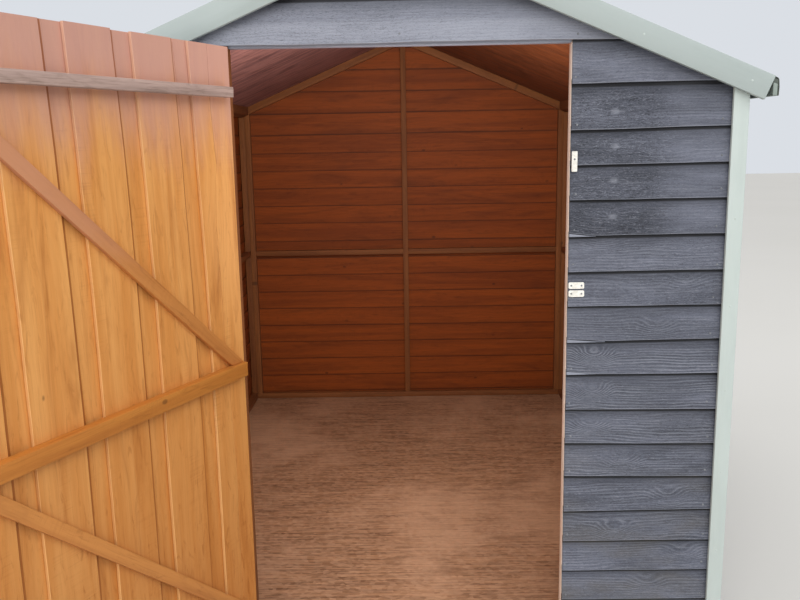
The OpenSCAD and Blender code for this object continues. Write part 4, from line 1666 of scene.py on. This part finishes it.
@dataclass
class Ironwork:
    """Hinges, bolt and keeps, with their screws."""

    lines: Outline
    door: Door
    plate_t: float = 0.003
    ease: float = 0.0006
    sunk: float = 0.0002
    upper_screw: float = 0.006
    upper_corner: float = 0.002
    lower_h: float = 0.018
    lower_corner: float = 0.004
    lower_screws: Pair = (-0.014, 0.014)
    lower_slack: float = 0.01
    lower_gap: float = 0.0004
    leaf_screw_x: float = 0.014
    leaf_screws: Triple = (-0.042, 0.0, 0.042)
    strap_screws: tuple[float, ...] = (0.045, 0.115, 0.195, 0.275, 0.33)

    def keeps(self) -> None:
        """Builds the white plates beside the doorway, and their screws."""
        upper, lower, screws = MeshMaker(), MeshMaker(), MeshMaker()
        out, thick = Vector((0, -1, 0)), self.plate_t
        low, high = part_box("upper_keep")
        middle = (low + high) / 2
        upper.plate(Vector((middle.x, high.y, middle.z)), out,
                    (high.x - low.x, high.z - low.z, thick), self.upper_corner)
        screws.dome(Vector((middle.x, low.y + self.sunk, middle.z + self.upper_screw)), out,
                    Head.UPPER_KEEP_SCREW)
        low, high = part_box("lower_keep")
        edge = max(z for z in self.lines.courses() if z <= low.z + self.lower_slack)
        slope = self.lines.board_t / self.lines.board_pitch
        tilted = Vector((0.0, -1.0, slope)).normalized()
        for middle_z in (low.z + self.lower_h / 2, high.z - self.lower_h / 2):
            face = self.lines.clad_t - slope * (middle_z - edge) + self.lower_gap
            centre = Vector(((low.x + high.x) / 2, -self.lines.frame_y - face, middle_z))
            lower.plate(centre, tilted, (high.x - low.x, self.lower_h, thick), self.lower_corner)
            for side in self.lower_screws:
                at = centre + tilted * (thick - self.sunk) + Vector((side, 0.0, 0.0))
                screws.dome(at, tilted, Head.LOWER_KEEP_SCREW)
        for maker, name, node in ((upper, "upper_keep_plate", "upper_keep"),
                                  (lower, "lower_keep_plates", "lower_keep")):
            maker.piece(name, "shed", (Finish.KEEP_PLATE,), STEEL, (node,))
        screws.piece("keep_screws", "shed", (Finish.NAIL,), STEEL)

    def hinge_screws(self) -> None:
        """Adds the screws of the hinge leaves and straps, level with the ledges' middles."""
        leaves, straps, out = MeshMaker(), MeshMaker(), Vector((0, -1, 0))
        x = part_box("hinge_leaves")[0].x + self.leaf_screw_x
        y = -self.lines.frame_y - self.lines.clad_t - self.plate_t + self.sunk
        turned = self.door.swing.to_3x3() @ out
        for node in LEDGES:
            level = sum(corner.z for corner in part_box(node)) / 2
            for up in self.leaf_screws:
                leaves.dome(Vector((x, y, level + up)), out, Head.HINGE_SCREW)
            for across in self.strap_screws:
                at = self.door.world(across, self.lines.clad_t + self.plate_t - self.sunk, level)
                straps.dome(at, turned, Head.HINGE_SCREW)
        leaves.piece("leaf_screws", "shed", (Finish.NAIL,), STEEL)
        straps.piece("strap_screws", "door", (Finish.NAIL,), STEEL)

    def build(self) -> None:
        """Builds the ironwork."""
        for nodes, body in ((("hinge_leaves",), "shed"), (("hinge_straps", "door_bolt"), "door")):
            SoftenedTimbers(nodes, Finish.ZINC, STEEL, body, self.ease).build()
        self.keeps()
        self.hinge_screws()


@dataclass(frozen=True)
class Viewpoint:
    """The camera's place, worked out from the lines of the building.

    The distances are from the middle of the front wall's face at floor level.
    """

    photo_w: float = 800.0
    focal_px: float = 842.2
    aside: float = 0.016
    away: float = 2.280
    eye: float = 1.451
    yaw: float = math.radians(-0.645)
    tilt: float = math.radians(10.723)
    roll: float = math.radians(-0.984)
    sensor: float = 36.0
    clip: Pair = (0.05, 60.0)

    def build(self, lines: Outline) -> None:
        """Makes the camera.

        Args:
            lines: The shed's main lines.
        """
        data = bpy.data.cameras.new("photo_view")
        data.sensor_width = self.sensor
        data.lens = self.sensor * self.focal_px / self.photo_w
        data.clip_start, data.clip_end = self.clip
        ahead = Vector((math.sin(self.yaw) * math.cos(self.tilt),
                        math.cos(self.yaw) * math.cos(self.tilt), -math.sin(self.tilt)))
        level = Vector((math.cos(self.yaw), -math.sin(self.yaw), 0.0))
        above = level.cross(ahead)
        right = level * math.cos(self.roll) + above * math.sin(self.roll)
        up = above * math.cos(self.roll) - level * math.sin(self.roll)
        place = Vector((self.aside, -lines.frame_y - lines.clad_t - self.away,
                        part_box("floor_board")[1].z + self.eye))
        camera = link("photo_view", data)
        camera.matrix_world = (Matrix.Translation(place)
                               @ Matrix((right, up, -ahead)).transposed().to_4x4())
        bpy.context.scene.camera = camera


@dataclass(frozen=True)
class Lamp:
    """One soft light: a square near the shed, or an even light from far off.

    A near one's size is its side, and a far one's is its angle in degrees.
    """

    name: str
    place: Triple
    aim: Triple
    size: float
    power: float
    colour: Triple
    far: bool = False

    def build(self) -> None:
        """Makes the light."""
        data = bpy.data.lights.new(self.name, "SUN" if self.far else "AREA")
        if self.far:
            data.angle = math.radians(self.size)
        else:
            data.shape, data.size = "SQUARE", self.size
        data.energy, data.color = self.power, self.colour
        lamp = link(self.name, data)
        lamp.visible_camera = False
        lamp.location = self.place
        lamp.rotation_mode = "QUATERNION"
        lamp.rotation_quaternion = (Vector(self.aim) - Vector(self.place)).to_track_quat("-Z", "Y")


@dataclass
class Studio:
    """A plain pale floor, an even pale surround and soft lights."""

    floor_half: float = 30.0
    lamps: tuple[Lamp, ...] = (
        Lamp("sky_front", (1.5, -6.5, 6.5), (0.0, 0.0, 0.0), 65.0, 2.5, (1.0, 0.99, 0.97), True),
        Lamp("sky_back", (-2.0, 6.5, 7.0), (0.0, 0.0, 0.0), 65.0, 1.2, (0.97, 0.98, 1.0), True),
        Lamp("sky_right", (6.0, -3.0, 6.5), (0.0, -0.5, 1.0), 5.0, 150.0, (0.97, 0.98, 1.0)),
        Lamp("sky_left", (-6.5, 0.0, 6.0), (0.0, 0.0, 1.0), 5.0, 170.0, (0.97, 0.98, 1.0)),
        Lamp("sky_left_front", (-3.6, -7.2, 3.6), (0.45, -1.2, 1.0), 4.5, 160.0, (1.0, 0.97, 0.92)),
        Lamp("under_roof", (0.0, -0.95, 1.66), (0.0, 1.2, 0.9), 0.4, 15.0, (1.0, 0.95, 0.88)),
        Lamp("to_roof", (0.3, -1.0, 1.15), (-0.4, 0.3, 1.85), 0.5, 7.0, (1.0, 0.95, 0.92)),
    )
    sky: tuple[float, float, float, float] = (0.88, 0.92, 0.98, 1.0)
    glow: float = 0.28
    backdrop: float = 0.8

    def floor(self) -> None:
        """Makes the floor."""
        mesh, half = bpy.data.meshes.new("studio_floor"), self.floor_half
        mesh.from_pydata([(-half, -half, 0), (half, -half, 0), (half, half, 0), (-half, half, 0)],
                         [], [(0, 1, 2, 3)])
        shade = Shade("studio_floor")
        tint = shade.mix(shade.cloud((0.4, 0.4, 0.4)), "c6c4bf", "cbc9c5")
        mesh.materials.append(shade.coat(tint, 0.9))
        floor = link("studio_floor", mesh)

    def surround(self) -> None:
        """Makes the surround, which glows less on the shed than it looks."""
        world = bpy.data.worlds.new("studio")
        world.use_nodes = True
        tree = world.node_tree
        light, seen = tree.nodes["Background"], tree.nodes.new("ShaderNodeBackground")
        for background, strength in ((light, self.glow), (seen, self.backdrop)):
            background.inputs["Color"].default_value = self.sky
            background.inputs["Strength"].default_value = strength
        rays = tree.nodes.new("ShaderNodeLightPath")
        blend = tree.nodes.new("ShaderNodeMixShader")
        for given, wanted in ((rays.outputs["Is Camera Ray"], blend.inputs[0]),
                              (light.outputs[0], blend.inputs[1]),
                              (seen.outputs[0], blend.inputs[2]),
                              (blend.outputs[0], tree.nodes["World Output"].inputs["Surface"])):
            tree.links.new(given, wanted)
        bpy.context.scene.world = world

    def build(self) -> None:
        """Makes the floor, the surround and the lights."""
        self.floor()
        self.surround()
        bpy.context.scene.view_settings.view_transform = "Standard"
        for lamp in self.lamps:
            lamp.build()


def main() -> None:
    """Builds the camera, the shed's sub-assemblies in order, and the studio."""
    logging.basicConfig(level=logging.INFO, format="%(name)s: %(message)s")
    lines = Outline()
    Viewpoint().build(lines)
    door = Door(lines)
    for part in (Walls(lines), Framing(), Trim(lines), FeltRoof(lines), door,
                 Ironwork(lines, door)):
        LOG.info("building %s", type(part).__name__)
        part.build()
    Studio().build()


if __name__ == "__main__":
    main()
